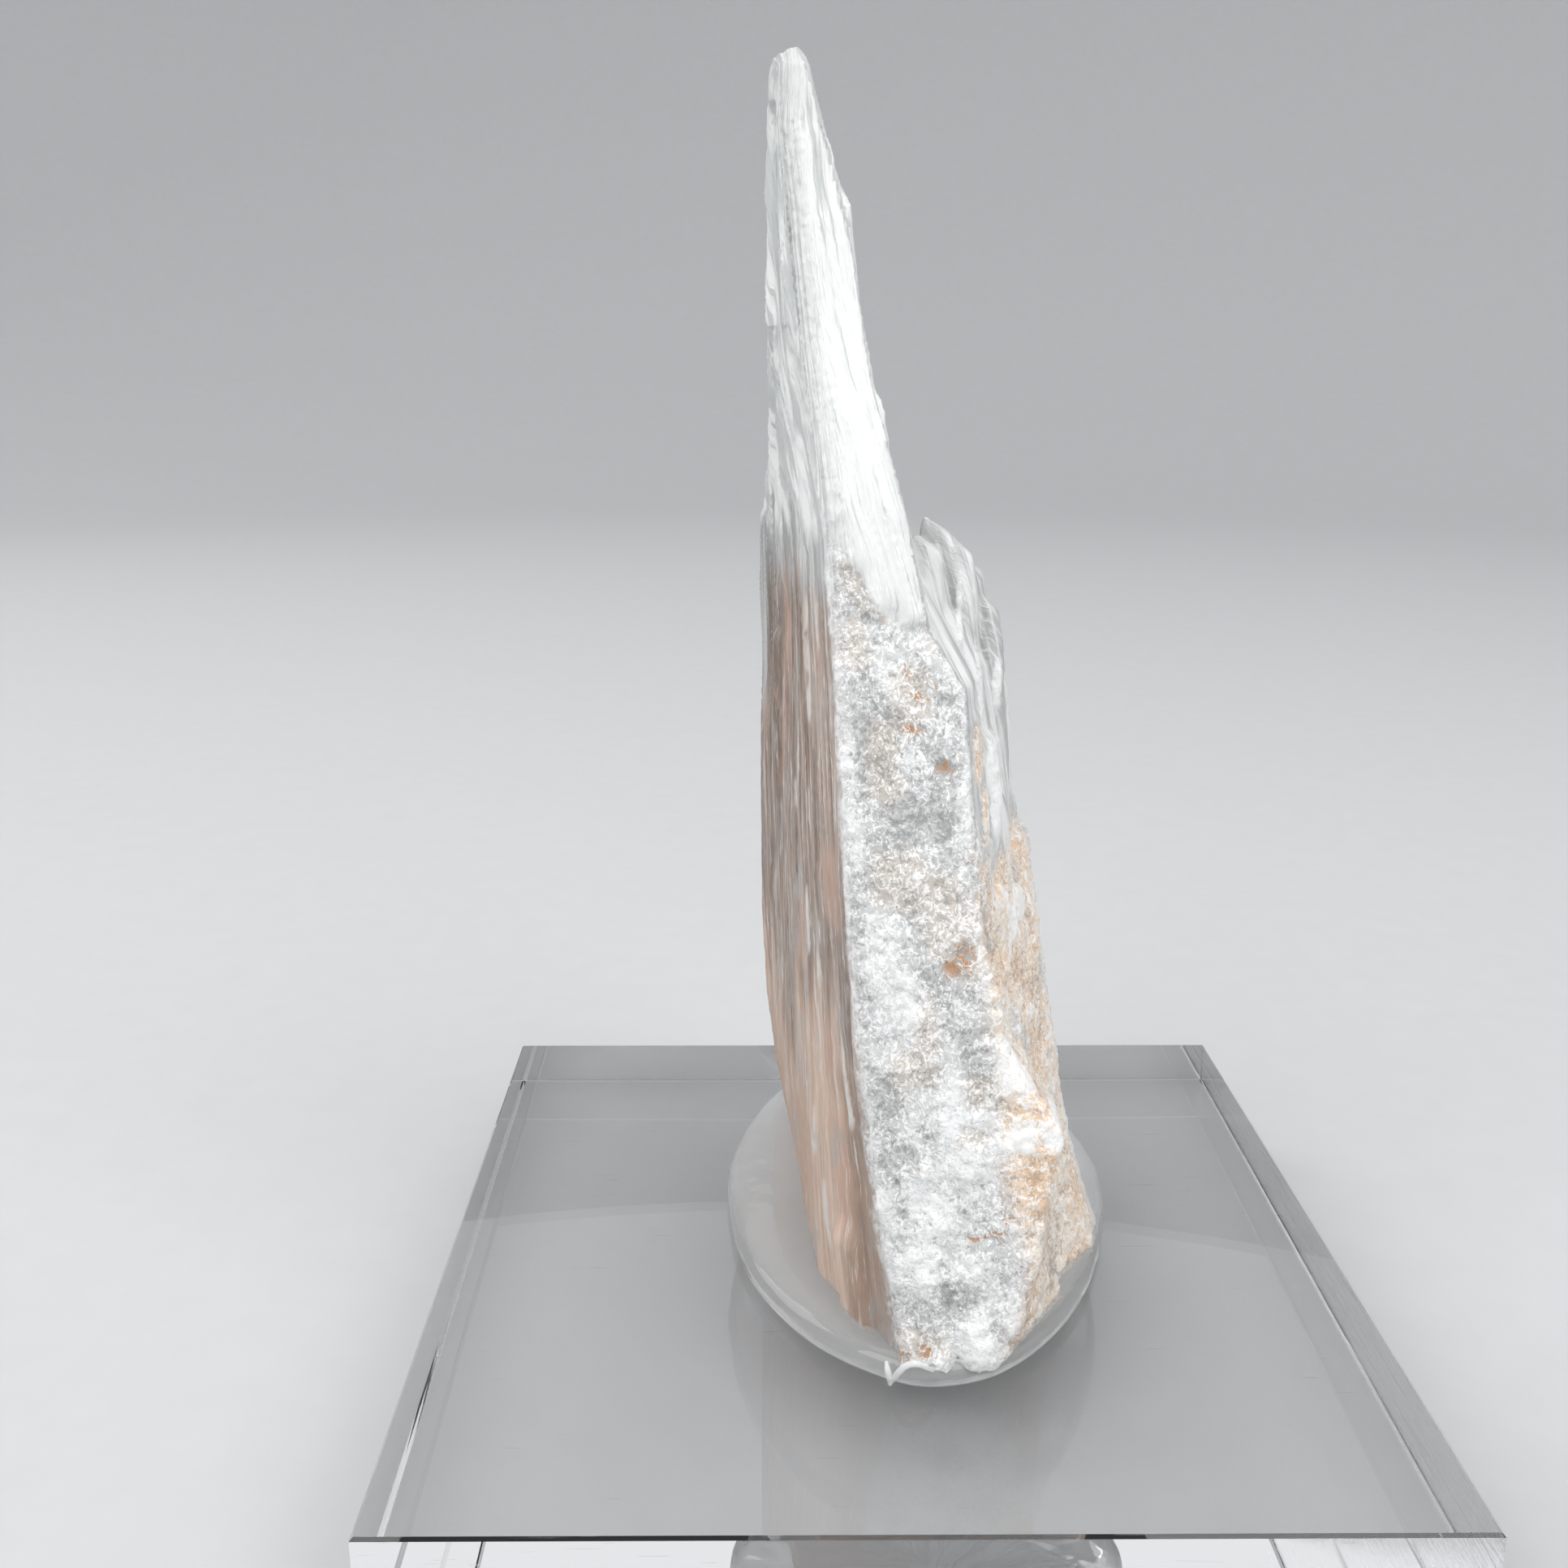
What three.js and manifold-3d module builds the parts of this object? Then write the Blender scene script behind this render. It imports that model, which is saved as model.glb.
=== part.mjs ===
// A selenite crystal that stands in a clear gel pad on a clear acrylic block.
// Millimetres, +Z up, origin at the middle of the block's underside. The crystal's
// narrow front face looks along -Y, and its broad left face looks along -X.

import * as THREE from "three";
import { mergeVertices } from "three/addons/utils/BufferGeometryUtils.js";
import Module from "manifold-3d";

const wasm = await Module();
wasm.setup();

// Driving dimensions

const BLOCK_SIDE = 50.8;
const BLOCK_HEIGHT = 8;
const BLOCK_BEVEL = 0.15;
const PAD_TOP = 9.7;
const PAD_RIM = 0.75; // height of the pad's widest line over the block
const PAD_SIDES = 52;
const FOOT = 9; // underside of the crystal, in the pad's pocket
const CLEARANCE = 0.3; // gap round the crystal in the pocket
const POCKET_REACH = 4; // how far over the foot the pocket is cut
const SINK = 0.5; // how deep a rib or sheet is rooted in the face that carries it
const EDGE_MARGIN = 0.02; // share of a face's width that a sheet leaves bare at each side

// Widest outline of the pad seen from above, as [x, y], from the front round to the right
const PAD_OUTLINE = [
  [0.4, -15.5],
  [2.4, -15.5],
  [4.4, -14.6],
  [8.5, -10.4],
  [11.9, -2.9],
  [13.2, 5],
  [12.2, 11.5],
  [9, 17.5],
  [4, 21],
  [-1, 20.6],
  [-5, 17.8],
  [-8, 11.8],
  [-9.5, 3.5],
  [-8.1, -6],
  [-4.9, -11.6],
  [-1.8, -14.6],
];

// The pad's rounded rim, as [height over the block, inset from the widest outline]
const PAD_RIM_PROFILE = [
  [0, 0.3],
  [0.35, 0.06],
  [PAD_RIM, 0],
  [1.2, 0.22],
  [1.5, 0.65],
  [PAD_TOP - BLOCK_HEIGHT, 1.7],
];

// The crystal's long edges, each as [height, x, y] from the foot to the tip

const FRONT_LEFT = [
  [FOOT, -0.8, -13.9],
  [17.5, -1.7, -13.2],
  [24, -2.6, -12.6],
  [33, -3.4, -11.4],
  [42.5, -3.9, -9.5],
  [51, -4.5, -7.6],
  [58.5, -5.6, -4.6],
  [68.5, -6.7, -1.9],
  [71.4, -6.5, -1.1],
];

const FRONT_RIGHT = [
  [FOOT, 4, -14],
  [21, 4.1, -13],
  [27, 3.3, -12.6],
  [34.5, 2.9, -11.5],
  [42.5, 2.4, -9.8],
  [45.6, 0.3, -8.8],
  [51, -0.9, -7.5],
  [52.8, -1.5, -6.8],
  [58, -2.3, -4.9],
  [62, -2.85, -3.6],
  [64.8, -3.2, -2.8],
  [65.6, -3.6, -2.6],
  [67.4, -3.95, -2.2],
  [68.2, -4.4, -2],
  [69.6, -4.7, -1.6],
  [71.4, -5.2, -1.1],
];

const RIGHT_MIDDLE = [
  [FOOT, 10.4, -5.4],
  [13, 8.9, -5.4],
  [20, 7.4, -5.4],
  [27, 6.5, -5],
  [34.5, 5.2, -4.4],
  [42.5, 3.9, -3.6],
  [45.6, 1.9, -3.4],
  [48, 0.2, -3],
  [51, -1, -3.4],
  [58, -2.3, -2.4],
  [65.4, -3.7, -1.5],
  [71.4, -5.15, -0.7],
];

const RIGHT = [
  [FOOT, 11.5, -1.9],
  [13, 9.9, -1.6],
  [24, 8, -0.6],
  [33, 6.7, 0.1],
  [38.5, 5.7, 0.4],
  [43, 4.7, 0.7],
  [46, 2.5, 0.9],
  [48, 0.2, 0.5],
  [51.5, -1.4, -0.5],
  [58, -2.3, -0.8],
  [65.4, -3.7, -0.6],
  [71.4, -5.1, -0.3],
];

const BACK_RIGHT = [
  [FOOT, 10.6, 7.5],
  [20, 8.8, 8.2],
  [31, 6.6, 8.4],
  [38, 4.6, 7],
  [43, 2.8, 5.4],
  [48, -0.6, 3.6],
  [51.5, -2.1, 2.4],
  [58, -2.9, 1.4],
  [65.4, -4.1, 0.7],
  [71.4, -5.2, 0.4],
];

const BACK = [
  [FOOT, 2.8, 16],
  [20, 1.6, 16.4],
  [29, 0.6, 14.6],
  [37, -1.4, 11.6],
  [43, -3, 8.2],
  [50, -4, 4.6],
  [58, -4.6, 2.3],
  [71.4, -5.9, 0.9],
];

const BACK_LEFT = [
  [FOOT, -6, 14.8],
  [16, -7.2, 14.5],
  [27, -7.5, 13.7],
  [38, -7.4, 11.7],
  [46.5, -7.5, 7],
  [49, -7.45, 5.6],
  [52.2, -7.2, 4.2],
  [53.2, -7, 4],
  [59, -7.2, 2.2],
  [65, -7.3, 1.6],
  [70, -7.2, 1.2],
  [71.4, -6.9, 0.8],
];

const LEFT_MIDDLE = [
  [FOOT, -4.3, -7.2],
  [15, -4.7, -7],
  [22, -4.9, -6],
  [28, -5.1, -5],
  [36, -5.4, -4],
  [47, -5.6, -2.2],
  [58, -6.5, -0.8],
  [71.4, -6.75, -0.1],
];

const CORE_EDGES = [
  FRONT_LEFT,
  FRONT_RIGHT,
  RIGHT_MIDDLE,
  RIGHT,
  BACK_RIGHT,
  BACK,
  BACK_LEFT,
  LEFT_MIDDLE,
];
const CORE_LEVELS = [
  FOOT, 13, 17.5, 21, 24, 27, 30, 33, 36, 38.5, 42.5, 45.6, 48, 51, 52.8, 55, 58, 62, 64.8, 65.6, 67.4, 68.2,
  69.6, 71.4,
];

// The chalky crust over the lower front, as [height, then x, y of its front left,
// front right, back right and back left corners]
const CRUST = [
  [FOOT, -0.6, -14.4, 4.4, -15, 8.7, -9, 3, -7],
  [11, -0.9, -14.4, 5.5, -14.9, 8.4, -8.8, 3, -7],
  [14, -1.3, -13.9, 6.2, -14.5, 8, -8.4, 2, -7],
  [17.5, -1.8, -13.6, 6.6, -14, 7.8, -8.4, 2, -7],
  [20.4, -2, -13.3, 7.2, -13.7, 7.6, -8.6, 2, -7],
  [21.6, -2.2, -13.1, 7, -13.6, 7.3, -9.4, 2, -8],
  [25, -2.5, -12.6, 4.7, -13.1, 5.2, -11, 1, -9],
  [29.5, -2.8, -11.7, 2.2, -12, 2.6, -11, 0, -9],
];

// The tip's two rounded humps, and the outline of a hump as [share of height, share of radius]
const TIP_HUMPS = [
  { centre: [-5.85, -0.15], low: 69.6, high: 72.2, radius: 1.05 },
  { centre: [-6.55, 0.25], low: 69.6, high: 71.95, radius: 0.62 },
];
const HUMP_PROFILE = [
  [0, 1],
  [0.6, 0.86],
  [0.88, 0.55],
  [1, 0.25],
];
const HUMP_SIDES = 7;

// A repeatable series of numbers from 0 to 1, for the unevenness of the etched faces
const SERIES_FACTOR = 16807;
const SERIES_MODULUS = 2147483647;
let seriesState = 11;

function chance() {
  seriesState = (seriesState * SERIES_FACTOR) % SERIES_MODULUS;
  return seriesState / SERIES_MODULUS;
}

// Closed solids from points

function pointsToGeometry(points, triangles) {
  const geometry = new THREE.BufferGeometry();
  geometry.setAttribute("position", new THREE.Float32BufferAttribute(points.flat(), 3));
  geometry.setIndex(triangles.flat());
  return geometry;
}

// Skins a stack of rings, each the same count of [x, y, z] points, counterclockwise from above.
function loft(rings) {
  const sides = rings[0].length;
  const points = rings.flat();
  const triangles = [];
  for (let level = 0; level + 1 < rings.length; level++) {
    for (let side = 0; side < sides; side++) {
      const low = level * sides + side;
      const lowNext = level * sides + ((side + 1) % sides);
      triangles.push([low, lowNext, lowNext + sides]);
      triangles.push([low, lowNext + sides, low + sides]);
    }
  }
  const under = points.push(middleOf(rings[0])) - 1;
  const over = points.push(middleOf(rings[rings.length - 1])) - 1;
  const lastRing = (rings.length - 1) * sides;
  for (let side = 0; side < sides; side++) {
    const next = (side + 1) % sides;
    triangles.push([under, next, side]);
    triangles.push([over, lastRing + side, lastRing + next]);
  }
  return pointsToGeometry(points, triangles);
}

function middleOf(ring) {
  const sum = [0, 0, 0];
  for (const point of ring) {
    for (let axis = 0; axis < 3; axis++) {
      sum[axis] += point[axis] / ring.length;
    }
  }
  return sum;
}

function toSolid(geometry) {
  const bare = geometry.clone();
  bare.deleteAttribute("normal");
  bare.deleteAttribute("uv");
  const merged = mergeVertices(bare, 1e-4);
  const mesh = new wasm.Mesh({
    numProp: 3,
    vertProperties: merged.attributes.position.array,
    triVerts: new Uint32Array(merged.index.array),
  });
  return new wasm.Manifold(mesh);
}

function toGeometry(solid) {
  const mesh = solid.getMesh();
  const geometry = new THREE.BufferGeometry();
  geometry.setAttribute("position", new THREE.Float32BufferAttribute(mesh.vertProperties, 3));
  geometry.setIndex(new THREE.BufferAttribute(mesh.triVerts, 1));
  const flat = geometry.toNonIndexed();
  flat.computeVertexNormals();
  return flat;
}

// Joins overlapping pieces in one solid, and closes the small voids that are shut in between them.
function join(geometries) {
  const whole = geometries.map(toSolid).reduce((joined, piece) => joined.add(piece));
  return whole.decompose().find((body) => body.volume() > 0);
}

// Places on the crystal's faces

// The [x, y] of an edge at a height.
function along(edge, height) {
  const last = edge.length - 2;
  const found = edge.findIndex((row, index) => index <= last && height <= edge[index + 1][0]);
  const index = found < 0 ? last : found;
  const [lowHeight, lowX, lowY] = edge[index];
  const [highHeight, highX, highY] = edge[index + 1];
  const share = (height - lowHeight) / (highHeight - lowHeight);
  return [lowX + (highX - lowX) * share, lowY + (highY - lowY) * share];
}

// A point on the face between two edges: across runs from 0 to 1 between them, and out is
// the distance over the face.
function onFace([from, to], across, height, out) {
  const [fromX, fromY] = along(from, height);
  const [toX, toY] = along(to, height);
  const length = Math.hypot(toX - fromX, toY - fromY);
  const outX = (toY - fromY) / length;
  const outY = (fromX - toX) / length;
  return [
    fromX + (toX - fromX) * across + outX * out,
    fromY + (toY - fromY) * across + outY * out,
    height,
  ];
}

function faceWidth([from, to], height) {
  const [fromX, fromY] = along(from, height);
  const [toX, toY] = along(to, height);
  return Math.hypot(toX - fromX, toY - fromY);
}

// The front face as it is seen, with the crust's edges below and the core's above
const crustCorner = (index) => CRUST.slice(0, -1).map((row) => [row[0], row[index], row[index + 1]]);
const crustTop = CRUST[CRUST.length - 1][0];
const ETCHED_FACE = [
  [...crustCorner(1), ...FRONT_LEFT.filter(([height]) => height > crustTop)],
  [...crustCorner(3), ...FRONT_RIGHT.filter(([height]) => height > crustTop)],
];
const LEFT_REAR_FACE = [BACK_LEFT, LEFT_MIDDLE];
const LEFT_FACE = [LEFT_MIDDLE, FRONT_LEFT];
const FRONT_FACE = [FRONT_LEFT, FRONT_RIGHT];
const RIGHT_FACE = [FRONT_RIGHT, RIGHT_MIDDLE];
const RIGHT_REAR_FACE = [RIGHT_MIDDLE, RIGHT];
const REAR_RIGHT_FACE = [RIGHT, BACK_RIGHT];
const REAR_FACE = [BACK_RIGHT, BACK];
const REAR_LEFT_FACE = [BACK, BACK_LEFT];

// A rib that lies along a face: low and high are its ends as [across, height], each end is
// either blunt, as a small ledge, or runs out into the face.
function rib({ face, low, high, width, lift, bluntLow = false, bluntHigh = false }) {
  const steps = 4;
  const rings = [];
  for (let step = 0; step <= steps; step++) {
    const share = step / steps;
    const height = low[1] + (high[1] - low[1]) * share;
    const across = low[0] + (high[0] - low[0]) * share;
    const runsOut = (step === 0 && !bluntLow) || (step === steps && !bluntHigh);
    const out = runsOut ? -0.1 : lift;
    const half = width / 2 / faceWidth(face, height);
    const crest = half * (runsOut ? 0.3 : 0.55);
    rings.push([
      onFace(face, across - half, height, -SINK),
      onFace(face, across - crest, height, out),
      onFace(face, across + crest, height, out * 0.8),
      onFace(face, across + half, height, -SINK),
    ]);
  }
  return loft(rings);
}

// A free lath: a flat six-sided prism from low to high with a slanting, broken end.
function lath({ at, to = at, low, high, width, depth, turn = 0, slant = 0.8 }) {
  const cos = Math.cos(THREE.MathUtils.degToRad(turn));
  const sin = Math.sin(THREE.MathUtils.degToRad(turn));
  const section = [
    [-0.5, -0.2],
    [-0.15, -0.5],
    [0.35, -0.5],
    [0.5, 0.1],
    [0.2, 0.5],
    [-0.3, 0.5],
  ];
  const ring = (share, grow, tilt) =>
    section.map(([u, v]) => {
      const x = u * width * grow;
      const y = v * depth * grow;
      return [
        at[0] + (to[0] - at[0]) * share + x * cos - y * sin,
        at[1] + (to[1] - at[1]) * share + x * sin + y * cos,
        low + (high - low) * share + tilt * u,
      ];
    });
  return loft([ring(0, 1, 0), ring(0.55, 1.02, 0), ring(0.86, 0.94, 0), ring(1, 0.72, -slant)]);
}

// The crystal's pieces, all joined in one solid

function core() {
  const rings = CORE_LEVELS.map((height) =>
    CORE_EDGES.map((edge) => [...along(edge, height), height]),
  );
  return loft(rings);
}

function crust() {
  const rings = CRUST.map(([height, ...corners]) =>
    [0, 2, 4, 6].map((index) => [corners[index], corners[index + 1], height]),
  );
  return loft(rings);
}

function tipHump({ centre, low, high, radius }) {
  const rings = HUMP_PROFILE.map(([rise, spread]) => {
    const ring = [];
    for (let side = 0; side < HUMP_SIDES; side++) {
      const angle = (2 * Math.PI * side) / HUMP_SIDES;
      ring.push([
        centre[0] + radius * spread * Math.cos(angle),
        centre[1] + radius * spread * Math.sin(angle),
        low + (high - low) * rise,
      ]);
    }
    return ring;
  });
  return loft(rings);
}

// The fibrous flap that hangs from the spire over the front face, in slanting laths.
function flap() {
  return [
    rib({ face: FRONT_FACE, low: [0.16, 50.2], high: [0.3, 60], width: 1.5, lift: 0.3, bluntLow: true }),
    rib({ face: FRONT_FACE, low: [0.36, 48.2], high: [0.55, 61], width: 1.8, lift: 0.45, bluntLow: true }),
    rib({ face: FRONT_FACE, low: [0.6, 46.3], high: [0.7, 58], width: 1.9, lift: 0.6, bluntLow: true }),
    rib({ face: FRONT_FACE, low: [0.9, 45.4], high: [0.85, 56], width: 1.7, lift: 0.7, bluntLow: true }),
  ];
}

// Fine ribs that fan down the front of the spire.
function spireRibs() {
  return [
    rib({ face: FRONT_FACE, low: [0.1, 55], high: [0.16, 70], width: 0.9, lift: 0.14 }),
    rib({ face: FRONT_FACE, low: [0.34, 57], high: [0.4, 71], width: 0.8, lift: 0.12 }),
    rib({ face: FRONT_FACE, low: [0.62, 54], high: [0.6, 68], width: 0.9, lift: 0.16, bluntHigh: true }),
    rib({ face: FRONT_FACE, low: [0.88, 52], high: [0.84, 64.4], width: 0.9, lift: 0.18, bluntHigh: true }),
  ];
}

// Ribs down the broad left face: long, thin and uneven. The upper ones end in small ledges.
function leftRibs() {
  return [
    rib({ face: LEFT_REAR_FACE, low: [0.1, 12], high: [0.16, 49.4], width: 3, lift: 0.24, bluntHigh: true }),
    rib({ face: LEFT_REAR_FACE, low: [0.28, 20], high: [0.32, 45], width: 2.4, lift: 0.16 }),
    rib({ face: LEFT_REAR_FACE, low: [0.46, 11], high: [0.5, 43], width: 2.6, lift: 0.26, bluntHigh: true }),
    rib({ face: LEFT_REAR_FACE, low: [0.66, 15], high: [0.7, 35], width: 2.2, lift: 0.2 }),
    rib({ face: LEFT_REAR_FACE, low: [0.86, 12], high: [0.88, 46], width: 2, lift: 0.2 }),
    rib({ face: LEFT_FACE, low: [0.14, 18], high: [0.2, 50], width: 1.5, lift: 0.2 }),
    rib({ face: LEFT_FACE, low: [0.4, 11], high: [0.45, 33], width: 1.6, lift: 0.16, bluntHigh: true }),
    rib({ face: LEFT_FACE, low: [0.68, 20], high: [0.66, 47], width: 1.3, lift: 0.14 }),
    rib({ face: LEFT_FACE, low: [0.6, FOOT], high: [0.5, 15], width: 3.6, lift: 0.55, bluntLow: true }),
    rib({ face: LEFT_REAR_FACE, low: [0.3, 47.4], high: [0.4, 66], width: 1.4, lift: 0.2, bluntLow: true }),
    rib({ face: LEFT_REAR_FACE, low: [0.7, 46.2], high: [0.8, 61], width: 1.3, lift: 0.2, bluntLow: true }),
    rib({ face: LEFT_FACE, low: [0.5, 48.6], high: [0.55, 66], width: 1.1, lift: 0.18, bluntLow: true }),
  ];
}

// The slab on the right face, whose top makes the step in the outline, with the steps beside it.
function rightSlab() {
  return [
    rib({
      face: RIGHT_REAR_FACE,
      low: [0.75, FOOT],
      high: [0.7, 33],
      width: 6,
      lift: 0.5,
      bluntLow: true,
      bluntHigh: true,
    }),
    rib({ face: RIGHT_FACE, low: [0.85, 10], high: [0.82, 35.6], width: 4.5, lift: 0.3, bluntHigh: true }),
    rib({ face: RIGHT_FACE, low: [0.35, 24], high: [0.3, 41], width: 2.4, lift: 0.22, bluntHigh: true }),
    rib({ face: RIGHT_FACE, low: [0.7, 35], high: [0.66, 39.5], width: 1.8, lift: 0.4, bluntHigh: true }),
  ];
}

// The stepped, ribbed lobe that ends beside the spire's root, from its inner to its outer lath.
function lobe() {
  const laths = [
    { at: [0.8, -3], high: 48.7, width: 2, depth: 4 },
    { at: [1.6, -0.9], high: 49.3, width: 2.2, depth: 5 },
    { at: [2.8, -1.6], high: 48.4, width: 1.8, depth: 4.2 },
    { at: [3.6, -0.7], high: 47.1, width: 1.7, depth: 4 },
    { at: [4.2, -1.5], high: 45.6, width: 1.5, depth: 3.6 },
    { at: [4.6, 0], high: 44, width: 1.5, depth: 3.4 },
    { at: [2.2, 2.4], high: 46.4, width: 2.8, depth: 3.6 },
    { at: [3.8, 3.2], high: 42.6, width: 2.4, depth: 3.8 },
  ];
  return laths.map((row, index) => {
    const lean = row.at[0] < 3 ? 0.3 : 0.8;
    const foot = [row.at[0] + lean, row.at[1]];
    return lath({ ...row, at: foot, to: row.at, low: 31 + (index % 3), turn: 8 - 5 * (index % 4), slant: 1 });
  });
}

// The back, which steps down from the spire in broken laths.
function backLaths() {
  return [
    lath({ at: [-5.6, 9], to: [-6, 5.2], low: 34, high: 51.5, width: 2, depth: 3 }),
    lath({ at: [-4.4, 9.6], to: [-4.6, 6], low: 30, high: 48.6, width: 2.4, depth: 3.2, turn: 12 }),
    lath({ at: [-2.6, 9.4], to: [-2.4, 5.6], low: 28, high: 46.2, width: 2.6, depth: 3.6, turn: -10 }),
    lath({ at: [-5.4, 12], to: [-5.6, 10.2], low: 20, high: 42.4, width: 3, depth: 3, turn: 5 }),
    lath({ at: [-2.4, 12.6], to: [-2.6, 10.4], low: 22, high: 39, width: 3.2, depth: 3.2, turn: -14 }),
    lath({ at: [0.4, 11.4], to: [0.2, 8.4], low: 22, high: 41, width: 3.2, depth: 3.6, turn: -24 }),
    lath({ at: [2.8, 9.4], to: [2.2, 6.6], low: 22, high: 40.4, width: 3, depth: 3.6, turn: -30 }),
    lath({ at: [-3.4, 14.2], to: [-3.6, 13], low: 14, high: 33.6, width: 3.6, depth: 2.6, turn: -6 }),
    lath({ at: [-0.4, 14.6], to: [-0.6, 13.2], low: 12, high: 31, width: 3.4, depth: 2.8, turn: -12 }),
    lath({ at: [5.4, 8.6], to: [5, 7.4], low: 12, high: 35.4, width: 3.4, depth: 3.4, turn: -34 }),
  ];
}

// Long low ribs on the faces behind.
function rearRibs() {
  return [
    rib({ face: REAR_RIGHT_FACE, low: [0.2, 11], high: [0.22, 33], width: 2.4, lift: 0.3, bluntHigh: true }),
    rib({ face: REAR_RIGHT_FACE, low: [0.62, 13], high: [0.6, 30], width: 3, lift: 0.35, bluntHigh: true }),
    rib({ face: REAR_FACE, low: [0.14, 10], high: [0.16, 27], width: 2.6, lift: 0.35, bluntHigh: true }),
    rib({ face: REAR_FACE, low: [0.42, 12], high: [0.42, 29], width: 2.8, lift: 0.3 }),
    rib({ face: REAR_FACE, low: [0.72, 10], high: [0.7, 24], width: 2.8, lift: 0.4, bluntHigh: true }),
    rib({ face: REAR_LEFT_FACE, low: [0.3, 11], high: [0.32, 26], width: 2.4, lift: 0.3, bluntHigh: true }),
    rib({ face: REAR_LEFT_FACE, low: [0.7, 13], high: [0.7, 31], width: 2, lift: 0.25 }),
  ];
}

// The etched relief of a face: a thin sheet of uneven facets, rooted in the face. Its surface
// stands between the least and the most lift, and its rim stays low.
function etchedSheet({ face, low, high, columns, rows, least, most }) {
  const rings = [];
  for (let row = 0; row <= rows; row++) {
    const height = low + ((high - low) * row) / rows;
    const ring = [];
    for (let column = 0; column <= columns; column++) {
      const onRim = row === 0 || row === rows || column === 0 || column === columns;
      const drift = onRim ? 0 : (chance() - 0.5) * 0.6;
      const across = EDGE_MARGIN + ((1 - 2 * EDGE_MARGIN) * (column + drift)) / columns;
      const rise = onRim ? 0 : (chance() - 0.5) * 0.6 * ((high - low) / rows);
      const out = least + (onRim ? 0 : (most - least) * chance());
      ring.push(onFace(face, across, height + rise, out));
    }
    ring.push(onFace(face, 1 - 2 * EDGE_MARGIN, height, -SINK));
    ring.push(onFace(face, 2 * EDGE_MARGIN, height, -SINK));
    rings.push(ring);
  }
  return loft(rings);
}

function etchedRelief() {
  return [
    etchedSheet({ face: ETCHED_FACE, low: 9.6, high: 45, columns: 6, rows: 26, least: 0.05, most: 0.42 }),
    etchedSheet({ face: RIGHT_FACE, low: 21, high: 36, columns: 4, rows: 11, least: 0.05, most: 0.45 }),
    etchedSheet({ face: RIGHT_REAR_FACE, low: 9.6, high: 32.4, columns: 4, rows: 14, least: 0.3, most: 0.65 }),
  ];
}

// Broken chips at the bottom of the front, which overhang the pad's rim.
function footChips() {
  return [
    lath({ at: [0.2, -14.4], to: [0.1, -14], low: FOOT, high: 10.6, width: 1.8, depth: 1.5, turn: 20, slant: 0.5 }),
    lath({ at: [1.5, -14.9], to: [1.4, -14.3], low: FOOT, high: 10.2, width: 1.6, depth: 1.1, turn: -12, slant: 0.4 }),
    lath({ at: [3.6, -14.9], to: [3.4, -14.5], low: FOOT, high: 11.6, width: 2, depth: 1.1, turn: 6, slant: 0.9 }),
  ];
}

function makeCrystal() {
  return join([
    core(),
    crust(),
    ...TIP_HUMPS.map(tipHump),
    ...flap(),
    ...spireRibs(),
    ...leftRibs(),
    ...rightSlab(),
    ...lobe(),
    ...backLaths(),
    ...rearRibs(),
    ...etchedRelief(),
    ...footChips(),
  ]);
}

// The block and the pad

function makeBlock() {
  const half = BLOCK_SIDE / 2 - BLOCK_BEVEL;
  const outline = new THREE.Shape();
  outline.moveTo(-half, -half);
  outline.lineTo(half, -half);
  outline.lineTo(half, half);
  outline.lineTo(-half, half);
  outline.closePath();
  const block = new THREE.ExtrudeGeometry(outline, {
    depth: BLOCK_HEIGHT - 2 * BLOCK_BEVEL,
    bevelEnabled: true,
    bevelThickness: BLOCK_BEVEL,
    bevelSize: BLOCK_BEVEL,
    bevelSegments: 1,
    curveSegments: 1,
  });
  block.translate(0, 0, BLOCK_BEVEL);
  return block;
}

function makePad(crystal) {
  const controls = PAD_OUTLINE.map(([x, y]) => new THREE.Vector3(x, y, 0));
  const outline = new THREE.CatmullRomCurve3(controls, true, "centripetal");
  const rings = PAD_RIM_PROFILE.map(([height, inset]) => {
    const ring = [];
    for (let side = 0; side < PAD_SIDES; side++) {
      const point = outline.getPointAt(side / PAD_SIDES);
      const tangent = outline.getTangentAt(side / PAD_SIDES);
      ring.push([point.x - tangent.y * inset, point.y + tangent.x * inset, BLOCK_HEIGHT + height]);
    }
    return ring;
  });
  const shifts = [[0, 0, -CLEARANCE]];
  const directions = 8;
  for (let index = 0; index < directions; index++) {
    const angle = (2 * Math.PI * index) / directions;
    shifts.push([CLEARANCE * Math.cos(angle), CLEARANCE * Math.sin(angle), 0]);
  }
  const nearFoot = new THREE.BoxGeometry(BLOCK_SIDE, BLOCK_SIDE, 2 * POCKET_REACH);
  nearFoot.translate(0, 0, FOOT);
  const foot = crystal.intersect(toSolid(nearFoot));
  return shifts.reduce((pad, shift) => pad.subtract(foot.translate(shift)), toSolid(loft(rings)));
}

// The scene graph

function piece(name, geometry, material) {
  const mesh = new THREE.Mesh(geometry, material);
  mesh.name = name;
  return mesh;
}

const acrylic = new THREE.MeshStandardMaterial({ color: 0xf4f7f8, roughness: 0.03, metalness: 0 });
const gel = new THREE.MeshStandardMaterial({ color: 0xeef1f1, roughness: 0.08, metalness: 0 });
const selenite = new THREE.MeshStandardMaterial({ color: 0xdcd9d2, roughness: 0.5, metalness: 0 });

const crystal = makeCrystal();
const specimen = new THREE.Group();
specimen.add(piece("acrylic_base", makeBlock(), acrylic));
specimen.add(piece("gel_pad", toGeometry(makePad(crystal)), gel));
specimen.add(piece("selenite_crystal", toGeometry(crystal), selenite));

export default specimen;
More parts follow.
